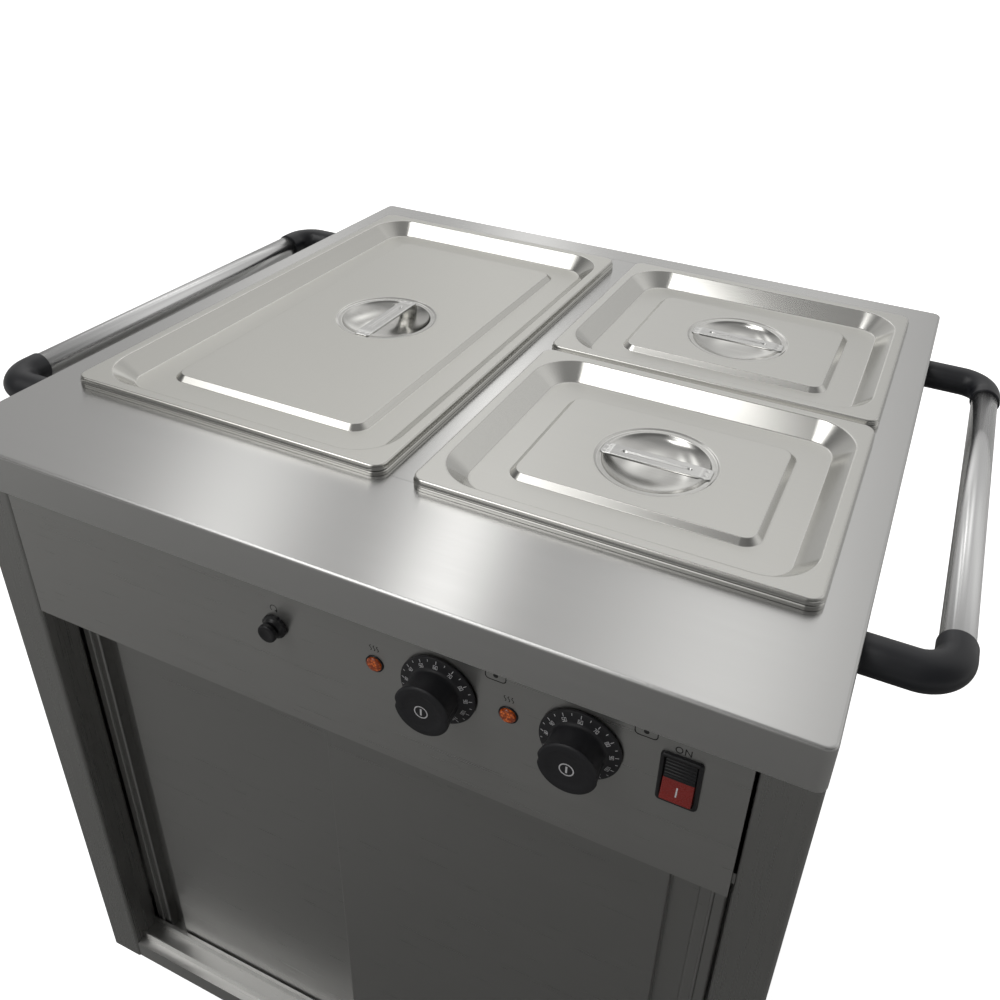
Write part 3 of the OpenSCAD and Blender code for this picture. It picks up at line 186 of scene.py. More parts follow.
def plastic(name, colour, rough=(0.35, 0.5), grain=1800.0, depth=0.12, specular=0.5, coat=0.0):
    """Moulded plastic with a fine spark-eroded grain."""
    t = Tree(name)
    co = t.coord()
    fine = t.noise(co, grain, 2.0, 0.5)
    broad = t.noise(co, 30.0, 3.0, 0.5)
    c = list(colour) + [1.0]
    dark = [v * 0.82 for v in colour] + [1.0]
    t.surface("Base Color", t.mix(t.span(broad, 0.35, 0.65, 0.0, 1.0), dark, c))
    both = t.math("ADD", t.math("MULTIPLY", fine, 0.5), t.math("MULTIPLY", broad, 0.5))
    t.surface("Roughness", t.span(both, 0.3, 0.7, rough[0], rough[1]))
    t.surface("Specular IOR Level", specular)
    t.surface("Coat Weight", coat)
    t.bump(fine, depth, 0.0002)
    return t.mat


def zinc(name, tone=0.6):
    """Zinc-plated steel with its faint spangle."""
    t = Tree(name)
    co = t.coord()
    v = t.node("ShaderNodeTexVoronoi")
    t.link(co, v.inputs["Vector"])
    v.inputs["Scale"].default_value = 120.0
    spangle = t.noise(co, 60.0, 3.0, 0.6)
    fac = t.math("ADD", t.math("MULTIPLY", v.outputs["Distance"], 0.3), t.math("MULTIPLY", spangle, 0.7))
    shade = t.span(fac, 0.2, 0.7, 0.0, 1.0)
    t.surface("Base Color", t.mix(shade, grey(tone * 0.85, 0.01), grey(tone * 1.1, 0.0)))
    t.surface("Metallic", 1.0)
    t.surface("Roughness", t.span(fac, 0.2, 0.7, 0.28, 0.45))
    t.bump(spangle, 0.08, 0.0004)
    return t.mat


def lens(name, colour):
    """Clear coloured plastic with moulded facets inside."""
    t = Tree(name)
    v = t.node("ShaderNodeTexVoronoi")
    t.link(t.coord(), v.inputs["Vector"])
    v.inputs["Scale"].default_value = 420.0
    fac = t.span(v.outputs["Distance"], 0.1, 0.6, 0.0, 1.0)
    bright = [min(1.0, c * 1.7) for c in colour] + [1.0]
    dark = [c * 0.35 for c in colour] + [1.0]
    col = t.mix(fac, bright, dark)
    t.surface("Base Color", col)
    t.surface("Roughness", t.span(fac, 0.0, 1.0, 0.08, 0.22))
    t.surface("Coat Weight", 0.6)
    t.surface("Coat Roughness", 0.06)
    t.surface("Emission Color", col)
    t.surface("Emission Strength", 0.10)
    t.bump(fac, 0.6, 0.0008)
    return t.mat


def ink(name, colour, rough=0.5):
    """Screen-printed ink with slightly uneven cover."""
    t = Tree(name)
    n = t.noise(t.coord(), 900.0, 3.0, 0.6)
    c = list(colour) + [1.0]
    other = [v * 0.8 + 0.02 for v in colour] + [1.0]
    t.surface("Base Color", t.mix(t.span(n, 0.3, 0.7, 0.0, 1.0), other, c))
    t.surface("Roughness", t.span(n, 0.3, 0.7, rough * 0.8, rough))
    t.bump(n, 0.1, 0.0001)
    return t.mat


def rubber(name, colour):
    """Grey tread rubber with scuffs and dust."""
    t = Tree(name)
    co = t.coord()
    fine = t.noise(co, 700.0, 3.0, 0.6)
    scuff = t.noise(co, 40.0, 4.0, 0.6, (1.0, 1.0, 3.0))
    c = list(colour) + [1.0]
    dark = [v * 0.7 for v in colour] + [1.0]
    t.surface("Base Color", t.mix(t.span(scuff, 0.4, 0.7, 0.0, 1.0), c, dark))
    t.surface("Roughness", t.span(fine, 0.3, 0.7, 0.55, 0.8))
    t.bump(fine, 0.2, 0.0003)
    return t.mat


M = {
    "top": steel("brushed_top", "X", 0.60, 0.008, (0.22, 0.26), 0.92, 0.005, 1000.0, 0.025),
    # the front, door and side sheets are the worktop's steel with lower tones: that darkening is painted
    # shade, deepest on the doors, which sit back in shade behind the panel
    "front": steel("brushed_front_painted_shade", "X", 0.50, 0.012, (0.27, 0.31), 0.8, 0.006, 1200.0, 0.018),
    "door": steel("brushed_door_painted_shade", "X", 0.41, 0.012, (0.27, 0.31), 0.8, 0.006, 1200.0, 0.018),
    "side": steel("brushed_side_painted_shade", "Z", 0.47, 0.012, (0.24, 0.34), 0.8, 0.03, 1200.0, 0.03),
    "inner": steel("inner_sheet", "X", 0.58, 0.01, (0.3, 0.42), 0.5, 0.05, 700.0, 0.07),
    "lid_long": steel("pressed_long", "Y", 0.60, 0.03, (0.34, 0.40), 0.0, 0.02, 900.0, 0.02, 0.16),
    "lid_cross": steel("pressed_cross", "X", 0.63, 0.025, (0.34, 0.40), 0.0, 0.02, 900.0, 0.02, 0.16),
    "dish": steel("dish_steel", "X", 0.66, 0.02, (0.12, 0.2), 0.0, 0.05, 260.0, 0.05),
    "strap": steel("strap_steel", "X", 0.68, 0.01, (0.16, 0.26), 0.3, 0.03, 900.0, 0.03),
    "element": steel("element_sheath", "X", 0.30, 0.06, (0.4, 0.55), 0.0, 0.08, 300.0, 0.15),
    "tube": steel("polished_tube", "Y", 0.74, 0.0, (0.17, 0.23), 0.35, 0.02, 700.0, 0.03),
    "zinc": zinc("zinc_fixings"),
    "black": plastic("black_plastic", (0.012, 0.012, 0.014), (0.3, 0.42)),
    "elbow": plastic("elbow_plastic", (0.013, 0.014, 0.018), (0.32, 0.45), 2200.0, 0.08),
    "dial": plastic("dial_plastic", (0.016, 0.016, 0.019), (0.4, 0.55), 2500.0, 0.08),
    "grey_plastic": plastic("terminal_plastic", (0.6, 0.59, 0.55), (0.45, 0.6)),
    "red": plastic("red_plastic", (0.30, 0.02, 0.015), (0.22, 0.32), 1200.0, 0.05, 0.5, 0.3),
    "amber": lens("amber_lens", (0.80, 0.12, 0.015)),
    "white_ink": ink("white_ink", (0.78, 0.78, 0.80)),
    "black_ink": ink("black_ink", (0.015, 0.015, 0.016)),
    "tyre": rubber("wheel_rubber", (0.16, 0.16, 0.17)),
}

NODE_MATERIAL = {
    "top": ["worktop", "well_divider", "pan_support_bar"],
    "front": ["control_panel", "base_tray"],
    "door": ["left_door", "right_door", "top_track", "bottom_track"],
    "side": ["left_side_panel", "right_side_panel", "back_panel"],
    "inner": ["well_tank", "cupboard_lining", "shelf", "shelf_runners", "element_cover"],
    "element": ["well_element", "cupboard_element"],
    "black": ["well_thermostat", "cupboard_thermostat", "safety_cutout", "reset_nut", "reset_button",
              "switch_housing", "cable_gland", "switch_rocker"],
    "grey_plastic": ["terminal_block"],
    "amber": ["indicator_lamps"],
    "zinc": ["back_screws", "frame_bolts", "castor_plates", "front_left_fork", "front_right_fork",
             "rear_left_fork", "rear_right_fork", "left_brake_pedal", "right_brake_pedal"],
    "tyre": ["front_left_wheel", "front_right_wheel", "rear_left_wheel", "rear_right_wheel"],
    "tube": ["left_handle_tube", "right_handle_tube"],
    "elbow": ["left_front_elbow", "left_rear_elbow", "right_front_elbow", "right_rear_elbow"],
    "dial": ["well_knob", "cupboard_knob"],
    "lid_long": ["full_pan", "full_lid", "full_lid_strap"],
    "lid_cross": ["front_half_pan", "rear_half_pan", "front_half_lid", "rear_half_lid",
                  "front_half_lid_strap", "rear_half_lid_strap"],
}
for key, names in NODE_MATERIAL.items():
    for n in names:
        NODES[n].data.materials.clear()
        NODES[n].data.materials.append(M[key])

# Mesh building


def add_mesh(name, verts, faces, material, body, nodes=(), smooth=True):
    """A piece from points in millimetres, riding on a CAD body."""
    mesh = bpy.data.meshes.new(name)
    mesh.from_pydata([[c * MM for c in v] for v in verts], [], faces)
    mesh.validate()
    bm = bmesh.new()
    bm.from_mesh(mesh)
    bmesh.ops.remove_doubles(bm, verts=bm.verts, dist=1e-7)
    bmesh.ops.recalc_face_normals(bm, faces=bm.faces)
    bm.to_mesh(mesh)
    bm.free()
    if smooth:
        mesh.shade_smooth()
    mats = material if isinstance(material, (list, tuple)) else [material]
    for m in mats:
        mesh.materials.append(M[m])
    obj = bpy.data.objects.new(name, mesh)
    bpy.context.collection.objects.link(obj)
    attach(obj, body)
    if nodes:
        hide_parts(*nodes)
    return obj


def arc(cx, cy, r, a0, a1, n):
    """Points on an arc in degrees, ends included."""
    return [(cx + r * math.cos(math.radians(a0 + (a1 - a0) * i / n)),
             cy + r * math.sin(math.radians(a0 + (a1 - a0) * i / n))) for i in range(n + 1)]


CORNER = 14  # steps round each corner of a loop
EDGE = 6  # steps along each straight side of a loop
TINY = 0.004  # smallest radius of a ring, so that its points stay apart


def round_loop(w, d, r):
    """Points round a rectangle with round corners, the same count for every size."""
    pts = []
    for q, (sx, sy) in enumerate(((1, 1), (-1, 1), (-1, -1), (1, -1))):
        cx, cy = sx * (w / 2 - r), sy * (d / 2 - r)
        corner = arc(cx, cy, max(r, 0.001), q * 90, q * 90 + 90, CORNER)
        pts += corner
        nx, ny = ((-1, 1), (-1, -1), (1, -1), (1, 1))[q]
        a = corner[-1]
        b = (nx * (w / 2 - r) + (0, -r, 0, r)[q], ny * (d / 2 - r) + (r, 0, -r, 0)[q])
        for i in range(1, EDGE):
            pts.append((a[0] + (b[0] - a[0]) * i / EDGE, a[1] + (b[1] - a[1]) * i / EDGE))
    return pts


def skin(loops):
    """Quads between loops of (points, height), all with the same count of points, closed at the last."""
    verts, faces = [], []
    n = len(loops[0][0])
    for pts, z in loops:
        verts += [(x, y, z) for x, y in pts]
    for k in range(len(loops) - 1):
        for i in range(n):
            j = (i + 1) % n
            faces.append((k * n + i, k * n + j, (k + 1) * n + j, (k + 1) * n + i))
    faces.append(tuple(range((len(loops) - 1) * n, len(loops) * n)))
    return verts, faces


def thick(obj, t):
    """Gives a sheet its thickness on the inner side."""
    m = obj.modifiers.new("sheet", "SOLIDIFY")
    m.thickness = t * MM
    m.offset = -1.0
    m.use_even_offset = True
    return obj


def even(obj):
    """Keeps flats flat in the shading by weighting the normals with the face areas."""
    m = obj.modifiers.new("even", "WEIGHTED_NORMAL")
    m.keep_sharp = True
    m.weight = 90
    return obj


def grid(rows):
    """Quads over rows of points, open at both ends."""
    verts, faces = [], []
    n = len(rows[0])
    for row in rows:
        verts += row
    for k in range(len(rows) - 1):
        for i in range(n - 1):
            a = k * n + i
            faces.append((a, a + 1, a + n + 1, a + n))
    return verts, faces


def tube_loops(rings, closed=True):
    """Quads round closed rings of 3-D points, with both ends closed."""
    verts, faces = [], []
    n = len(rings[0])
    for ring in rings:
        verts += ring
    for k in range(len(rings) - 1):
        for i in range(n):
            j = (i + 1) % n
            faces.append((k * n + i, k * n + j, (k + 1) * n + j, (k + 1) * n + i))
    if closed:
        faces.append(tuple(range(n)))
        faces.append(tuple(range((len(rings) - 1) * n, len(rings) * n)))
    return verts, faces


def turned(name, x, y, z, outline, material, body, nodes=(), sides=96):
    """Shape turned about an axis that points forward, from (radius, length) pairs."""
    rings = []
    for r, h in outline:
        r = max(r, TINY)
        turn = [2 * math.pi * i / sides for i in range(sides)]
        rings.append([(x + r * math.cos(a), y - h, z + r * math.sin(a)) for a in turn])
    v, f = tube_loops(rings, False)
    return add_mesh(name, v, f, material, body, nodes)


def smooth_step(u):
    """0 below 0, 1 above 1 and a smooth rise between them."""
    u = max(0.0, min(1.0, u))
    return u * u * (3 - 2 * u)


# Lids and their straps, in millimetres

LID_T = 0.8  # sheet of a lid
LIP_R = 2.2  # bend over the rolled edge
LIP_IN = LIP_R + 0.8  # from a lid's edge to the top of that bend
LIP_PROFILE = [(0.5, -5.2), (0.1, -5.0), (0.0, -4.6), (0.15, -4.1), (0.9, -2.6)]  # inset and height
FLANGE = 10.0  # width of the flange round the recess
SLOPE = 14.0  # how far the recess wall leans in
BEND = 3.0  # bends above and below the recess wall
DEPTH = 15.0  # flange to recess floor
MARGIN = 62.0  # from a lid's edge to its plateau
RISE = 5.0  # recess floor to plateau
STEP = 6.5  # width of the fold up to the plateau
STEP_BEND = 1.63  # bends of that fold
OUTER_R = 12.0  # corners of the lid in plan
RECESS_R = 42.0  # corners of the recess in plan
PLATEAU_R = 10.0  # corners of the plateau in plan
DISH_R = 53.0  # radius of the grip dish
DISH_RIM = 2.4  # flat ring round the dish
DISH_EDGE = [(0.9, 0.0), (0.2, 0.15), (-0.8, 0.7), (-1.6, 1.25)]  # out from the dish's radius, and down
LEDGE = 6.0  # ring inside the dish on which the strap stands
LEDGE_DROP = 1.4  # plateau to ledge
DISH_DEPTH = 14.0  # plateau to the dish's lowest point
BOWL_STEPS = 20  # rings down the bowl


def lid_piece(name, body):
    """One pressing from the rolled edge in over the recess and plateau to the middle of the dish."""
    lo, hi = corner_mm(name)
    cx, cy = (lo[0] + hi[0]) / 2, (lo[1] + hi[1]) / 2
    w, d, top = hi[0] - lo[0], hi[1] - lo[1], hi[2]
    loops = []

    def ring(inset, z, r):
        loops.append((round_loop(w - 2 * inset, d - 2 * inset, max(r, 0.5)), z))

    for inset, z in LIP_PROFILE:
        ring(inset, z, OUTER_R)
    for x, z in arc(LIP_IN, -LIP_R, LIP_R, 155, 90, 7):
        ring(x, z, OUTER_R - x)
    for u in (0.06, 0.35, 0.65, 0.94):
        ring(LIP_IN + (FLANGE - LIP_IN) * u, 0, OUTER_R - LIP_IN + (RECESS_R - OUTER_R + LIP_IN) * u)
    wall = arc(0, -BEND, BEND, 90, 50, 5)
    wall += arc(SLOPE + 2 * BEND, -DEPTH + BEND, BEND, 230, 270, 5)
    for x, z in wall:
        ring(FLANGE + x, z, RECESS_R - x)
    end = FLANGE + SLOPE + 2 * BEND
    r_end = RECESS_R - SLOPE - 2 * BEND
    for u in (0.03, 0.35, 0.65, 0.97):
        ring(end + (MARGIN - STEP - end) * u, -DEPTH, r_end + (PLATEAU_R + STEP - r_end) * u)
    fold = arc(0, STEP_BEND, STEP_BEND, -90, -46, 5)
    fold += arc(STEP, RISE - STEP_BEND, STEP_BEND, 134, 90, 5)
    for x, z in fold:
        ring(MARGIN - STEP + x, -DEPTH + z, PLATEAU_R + STEP - x)
    flat = -DEPTH + RISE
    inner = round_loop(w - 2 * MARGIN - 1.2, d - 2 * MARGIN - 1.2, PLATEAU_R - 0.6)
    n = len(inner)
    # the circles start between the place of an even spread and that of the plateau's own first point
    even_start = math.pi / 4 - (CORNER / 2) / n * 2 * math.pi
    own_start = math.atan2(d / 2 - MARGIN - PLATEAU_R, w / 2 - MARGIN)
    first = even_start * 0.6 + own_start * 0.4

    def circle_points(r):
        turn = [first + 2 * math.pi * i / n for i in range(n)]
        return [(r * math.cos(a), r * math.sin(a)) for a in turn]

    def circle(r, z):
        loops.append((circle_points(r), z))

    loops.append((inner, flat))
    hub = circle_points(DISH_R + DISH_RIM)
    for u in (0.35, 0.7):
        between = [(a[0] + (b[0] - a[0]) * u, a[1] + (b[1] - a[1]) * u) for a, b in zip(inner, hub)]
        loops.append((between, flat))
    circle(DISH_R + DISH_RIM, flat)
    for out, down in DISH_EDGE:
        circle(DISH_R + out, flat - down)
    ledge_z = flat - LEDGE_DROP
    circle(DISH_R - DISH_RIM, ledge_z)
    bowl_r = DISH_R - LEDGE
    circle(bowl_r + 1.0, ledge_z)
    fall = DISH_DEPTH - LEDGE_DROP
    for i in range(BOWL_STEPS + 1):
        k = 1 - 0.88 * (i / BOWL_STEPS) ** 1.5
        circle(bowl_r * k, ledge_z - fall * max(0.0, 1 - k ** 3) ** 0.75)
    verts, faces = skin([([(x + cx, y + cy) for x, y in pts], z + top) for pts, z in loops])
    sheet = "lid_long" if name == "full_lid" else "lid_cross"
    obj = add_mesh(name + "_pressing", verts, faces, (sheet, "dish"), body, (name,))
    for poly in obj.data.polygons:
        if math.hypot(poly.center.x * 1000 - cx, poly.center.y * 1000 - cy) < DISH_R + 0.5:
            poly.material_index = 1
    return even(thick(obj, LID_T))


for n in ("full", "front_half", "rear_half"):
    lid_piece(n + "_lid", n + "_lid")


STRAP_T = 1.0
STRAP_EDGE_R = 0.9  # rounding of a strap's long edges
STRAP_LIFT = 0.6  # how far the bridge stands above the welded ends
STRAP_DROP = 3.0  # how far the welded ends lie below the top of the CAD strap
BRIDGE_IN, FOOT_IN = 9.0, 5.5  # from a strap's end to where the bridge stops and the flat foot starts
GROOVE_DEPTH = 1.5
GROOVE_HALF_W = 0.8
GROOVE_SHARE = 0.6  # length of the groove as a share of the strap's
WELD_IN, WELD_ASIDE = 4.4, 3.6  # a weld dimple's place from the strap's end and from its middle line
WELD_R = 0.7
STRAP_STEPS = 110  # rows along a strap
STRAP_CROSS = 34  # steps across it


def strap_piece(name, body, along_y):
    """The strap across a dish: a raised bridge with a pressed groove, and two welded ends."""
    lo, hi = corner_mm(name)
    cx, cy, top = (lo[0] + hi[0]) / 2, (lo[1] + hi[1]) / 2, hi[2]
    half_l = (hi[1] - lo[1] if along_y else hi[0] - lo[0]) / 2
    half_w = (hi[0] - lo[0] if along_y else hi[1] - lo[1]) / 2
    flat, mid = half_l - FOOT_IN, half_l - BRIDGE_IN
    groove_l = half_l * GROOVE_SHARE

    def lift(u):
        return STRAP_LIFT * (1 - smooth_step((abs(u) - mid + 1) / (flat - mid + 2)))

    def height(u, v):
        z = lift(u)
        groove = math.hypot(max(abs(u) - groove_l, 0), v)
        z -= GROOVE_DEPTH * (1 - smooth_step((groove - GROOVE_HALF_W) / 1.5))
        for s in (-1, 1):
            groove_end = math.hypot(u - s * groove_l, v)
            z -= 0.5 * (1 - smooth_step((groove_end - GROOVE_HALF_W) / 1.5))
            weld = math.hypot(abs(u) - (half_l - WELD_IN), v - s * WELD_ASIDE)
            z -= 0.35 * (1 - smooth_step((weld - WELD_R) / 0.8))
        return z

    rows = []
    for i in range(STRAP_STEPS + 1):
        u = -half_l + 2 * half_l * i / STRAP_STEPS
        k = max(0.0, (abs(u) - (half_l - 4.0)) / 4.0)
        hw = half_w * math.sqrt(max(0.0, 1 - 0.35 * k * k)) - STRAP_EDGE_R
        row = []
        raised = 1 - smooth_step((abs(u) - mid + 2) / 4)
        side = [(hw + px, -STRAP_EDGE_R + pz) for px, pz in arc(0, 0, STRAP_EDGE_R, 90, 0, 3)]
        side.append((hw + STRAP_EDGE_R, -STRAP_EDGE_R - 1.5 * raised))
        for x, dz in reversed(side):
            row.append((u, -x, lift(u) + dz))
        for j in range(1, STRAP_CROSS):
            v = -hw + 2 * hw * j / STRAP_CROSS
            row.append((u, v, height(u, v)))
        for x, dz in side:
            row.append((u, x, lift(u) + dz))
        rows.append(row)
    base = top - STRAP_DROP
    if along_y:
        rows = [[(cx - v, cy + u, base + z) for u, v, z in row] for row in rows]
    else:
        rows = [[(cx + u, cy + v, base + z) for u, v, z in row] for row in rows]
    verts, faces = grid(rows)
    obj = add_mesh(name + "_pressing", verts, faces, "strap", body, (name,))
    for poly in obj.data.polygons:
        if poly.normal.z < -0.2:
            obj.data.flip_normals()
            break
    return thick(obj, STRAP_T)


strap_piece("full_lid_strap", "full_lid", True)
strap_piece("front_half_lid_strap", "front_half_lid", False)
strap_piece("rear_half_lid_strap", "rear_half_lid", False)

# Handles, in millimetres

SIDE_X = 370.0  # outer face of a side panel
ARM_Y = 232.5  # middle of an elbow's arm, front or back of the cupboard's middle
ELBOW_R = 25.0
ELBOW_SIDES = 64
ARM_W, ARM_H = 15.0, 14.2  # half width and half height of the arm
NECK_W, NECK_H = 14.0, 14.0  # the same where the tube goes in
RIM_W = 12.6  # half width of the mouth round the tube
TUBE_SIDES = 96


def elbow_piece(name, node_tube):
    """A moulded elbow from its foot on the side panel round to the tube, a little fuller on its outside."""
    lo = corner_mm(name)[0]
    tlo, thi = corner_mm(node_tube)
    sx = 1 if lo[0] > 0 else -1
    sy = 1 if lo[1] > 0 else -1
    tube_x = (tlo[0] + thi[0]) / 2
    z = (tlo[2] + thi[2]) / 2
    reach = abs(tube_x) - SIDE_X
    arm = reach - ELBOW_R
    # each station: out from the panel, along towards the middle, heading, half width and half height
    stations = [(0.0, 0.0, 0.0, ARM_W - 0.6, ARM_H - 0.6), (0.35, 0.0, 0.0, ARM_W - 0.2, ARM_H - 0.2),
                (1.2, 0.0, 0.0, ARM_W, ARM_H), (arm * 0.5, 0.0, 0.0, ARM_W, ARM_H)]
    steps = 24
    for i in range(steps + 1):
        a = math.radians(90 * i / steps)
        k = smooth_step(i / steps)
        stations.append((arm + ELBOW_R * math.sin(a), ELBOW_R * (1 - math.cos(a)), 90 * i / steps,
                         ARM_W - (ARM_W - NECK_W) * k, ARM_H - (ARM_H - NECK_H) * k))
    for along, w in ((11.4, 14.0), (12.4, 13.8), (12.9, 13.3), (13.0, 12.62)):
        stations.append((reach, ELBOW_R + along, 90.0, w, w))
    rings = []
    for px, py, heading, hw, hh in stations:
        ring = []
        h = math.radians(heading)
        for j in range(ELBOW_SIDES):
            a = 2 * math.pi * j / ELBOW_SIDES
            swell = 1 + 0.07 * max(0.0, math.cos(a - math.radians(190))) ** 6
            if hw < NECK_W - 0.1:
                swell = 1 + (swell - 1) * max(0.0, (hw - RIM_W) / 1.3)
            u, v = hw * math.cos(a) * swell, hh * math.sin(a) * swell
            ring.append((sx * (SIDE_X + px - u * math.sin(h)), sy * (ARM_Y - py - u * math.cos(h)), z + v))
        rings.append(ring)
    verts, faces = tube_loops(rings)
    return add_mesh(name + "_moulding", verts, faces, "elbow", "cabinet", (name,))


def handle_tube_piece(name):
    """A tube with its ends chamfered."""
    lo, hi = corner_mm(name)
    cx, cz = (lo[0] + hi[0]) / 2, (lo[2] + hi[2]) / 2
    r = (hi[2] - lo[2]) / 2
    turn = [2 * math.pi * i / TUBE_SIDES for i in range(TUBE_SIDES)]
    rings = []
    for rr, y in ((r - 1.5, lo[1] + 0.4), (r - 1.5, lo[1]), (r - 0.4, lo[1]), (r, lo[1] + 0.4),
                  (r, hi[1] - 0.4), (r - 0.4, hi[1]), (r - 1.5, hi[1]), (r - 1.5, hi[1] - 0.4)):
        rings.append([(cx + rr * math.cos(a), y, cz + rr * math.sin(a)) for a in turn])
    verts, faces = tube_loops(rings)
    return add_mesh(name + "_drawn", verts, faces, "tube", "cabinet", (name,))


for side in ("left", "right"):
    handle_tube_piece(side + "_handle_tube")
    for end in ("front", "rear"):
        elbow_piece(side + "_" + end + "_elbow", side + "_handle_tube")

# Controls, in millimetres

FACE_Y = -332.0  # face of the control panel
CONTROL_Z = 807.5  # height of the row of controls


def flat_shape(name, shapes, material, body, y, lift):
    """Thin printed or moulded marks: closed outlines in x and z, drawn on a plane that faces the front."""
    verts, faces = [], []
    for pts in shapes:
        k = len(verts)
        n = len(pts)
        verts += [(px, y + 0.02, pz) for px, pz in pts]
        verts += [(px, y - lift, pz) for px, pz in pts]
        faces.append(tuple(range(k + n, k + 2 * n)))
        for i in range(n):
            j = (i + 1) % n
            faces.append((k + i, k + j, k + n + j, k + n + i))
    return add_mesh(name, verts, faces, material, body, smooth=False)


def stroke(points, width):
    """Outlines of a pen stroke through points, one quad for each leg."""
    out = []
    for (x0, z0), (x1, z1) in zip(points, points[1:]):
        l = math.hypot(x1 - x0, z1 - z0)
        if l < 1e-6:
            continue
        ux, uz = (x1 - x0) / l, (z1 - z0) / l
        h = width / 2
        x0b, z0b, x1b, z1b = x0 - ux * h * 0.6, z0 - uz * h * 0.6, x1 + ux * h * 0.6, z1 + uz * h * 0.6
        out.append([(x0b - uz * h, z0b + ux * h), (x1b - uz * h, z1b + ux * h),
                    (x1b + uz * h, z1b - ux * h), (x0b + uz * h, z0b - ux * h)])
    return out


DIGITS = {
    "0": [[(0, 0), (0, 2), (1, 2), (1, 0), (0, 0)]],
    "1": [[(0.2, 1.6), (0.6, 2), (0.6, 0)]],
    "2": [[(0, 2), (1, 2), (1, 1), (0, 1), (0, 0), (1, 0)]],
    "3": [[(0, 2), (1, 2), (1, 0), (0, 0)], [(0.2, 1), (1, 1)]],
    "4": [[(0, 2), (0, 1), (1, 1)], [(0.8, 2), (0.8, 0)]],
    "5": [[(1, 2), (0, 2), (0, 1), (1, 1), (1, 0), (0, 0)]],
    "6": [[(1, 2), (0, 2), (0, 0), (1, 0), (1, 1), (0, 1)]],
    "7": [[(0, 2), (1, 2), (0.4, 0)]],
    "8": [[(0, 0), (0, 2), (1, 2), (1, 0), (0, 0)], [(0, 1), (1, 1)]],
    "9": [[(0, 0), (1, 0), (1, 2), (0, 2), (0, 1), (1, 1)]],
}


NUMERAL_LINE = 0.34


def numerals(text, cx, cz, h, turn):
    """Strokes of plain digits centred on a point and turned by an angle in degrees."""
    shapes = []
    cell = h * 0.78
    total = cell * len(text) - cell * 0.28
    t = math.radians(turn)
    for k, ch in enumerate(text):
        for line in DIGITS[ch]:
            pts = []
            for px, pz in line:
                lx = -total / 2 + k * cell + px * h * 0.5
                lz = (pz - 1) * h / 2
                pts.append((cx + lx * math.cos(t) - lz * math.sin(t),
                            cz + lx * math.sin(t) + lz * math.cos(t)))
            shapes += stroke(pts, NUMERAL_LINE)
    return shapes


# each pair is a radius and how far it stands forward of the dial's back
SKIRT_RIM = [(0.0, 0.0), (30.4, 0.0), (30.9, 0.25), (31.0, 0.8), (31.0, 1.5), (30.8, 1.9)]
SKIRT = [(30.2, 2.15), (29.0, 2.5), (26.0, 3.3), (23.5, 3.9), (22.2, 4.4)]
GRIP_FOOT = [(21.4, 5.2), (21.0, 6.4), (20.9, 9.0), (21.1, 13.0), (21.6, 18.5)]
SCALE_START, SCALE_SWEEP = 232, 284  # degrees, the scale running clockwise
SCALE_MARKS = 21
SCALE_R = 29.2  # outer end of the marks
NUMERAL_R = 24.6
KNOB_SIDES = 144
KNOB_FACE_DIP = 0.6  # how far a knob's face lies below its rim


def skirt_height(r):
    """How far the skirt stands forward at a radius on it."""
    for (r0, h0), (r1, h1) in zip(SKIRT, SKIRT[1:]):
        if r >= r1:
            break
    return h0 + (r0 - r) * (h1 - h0) / (r0 - r1)


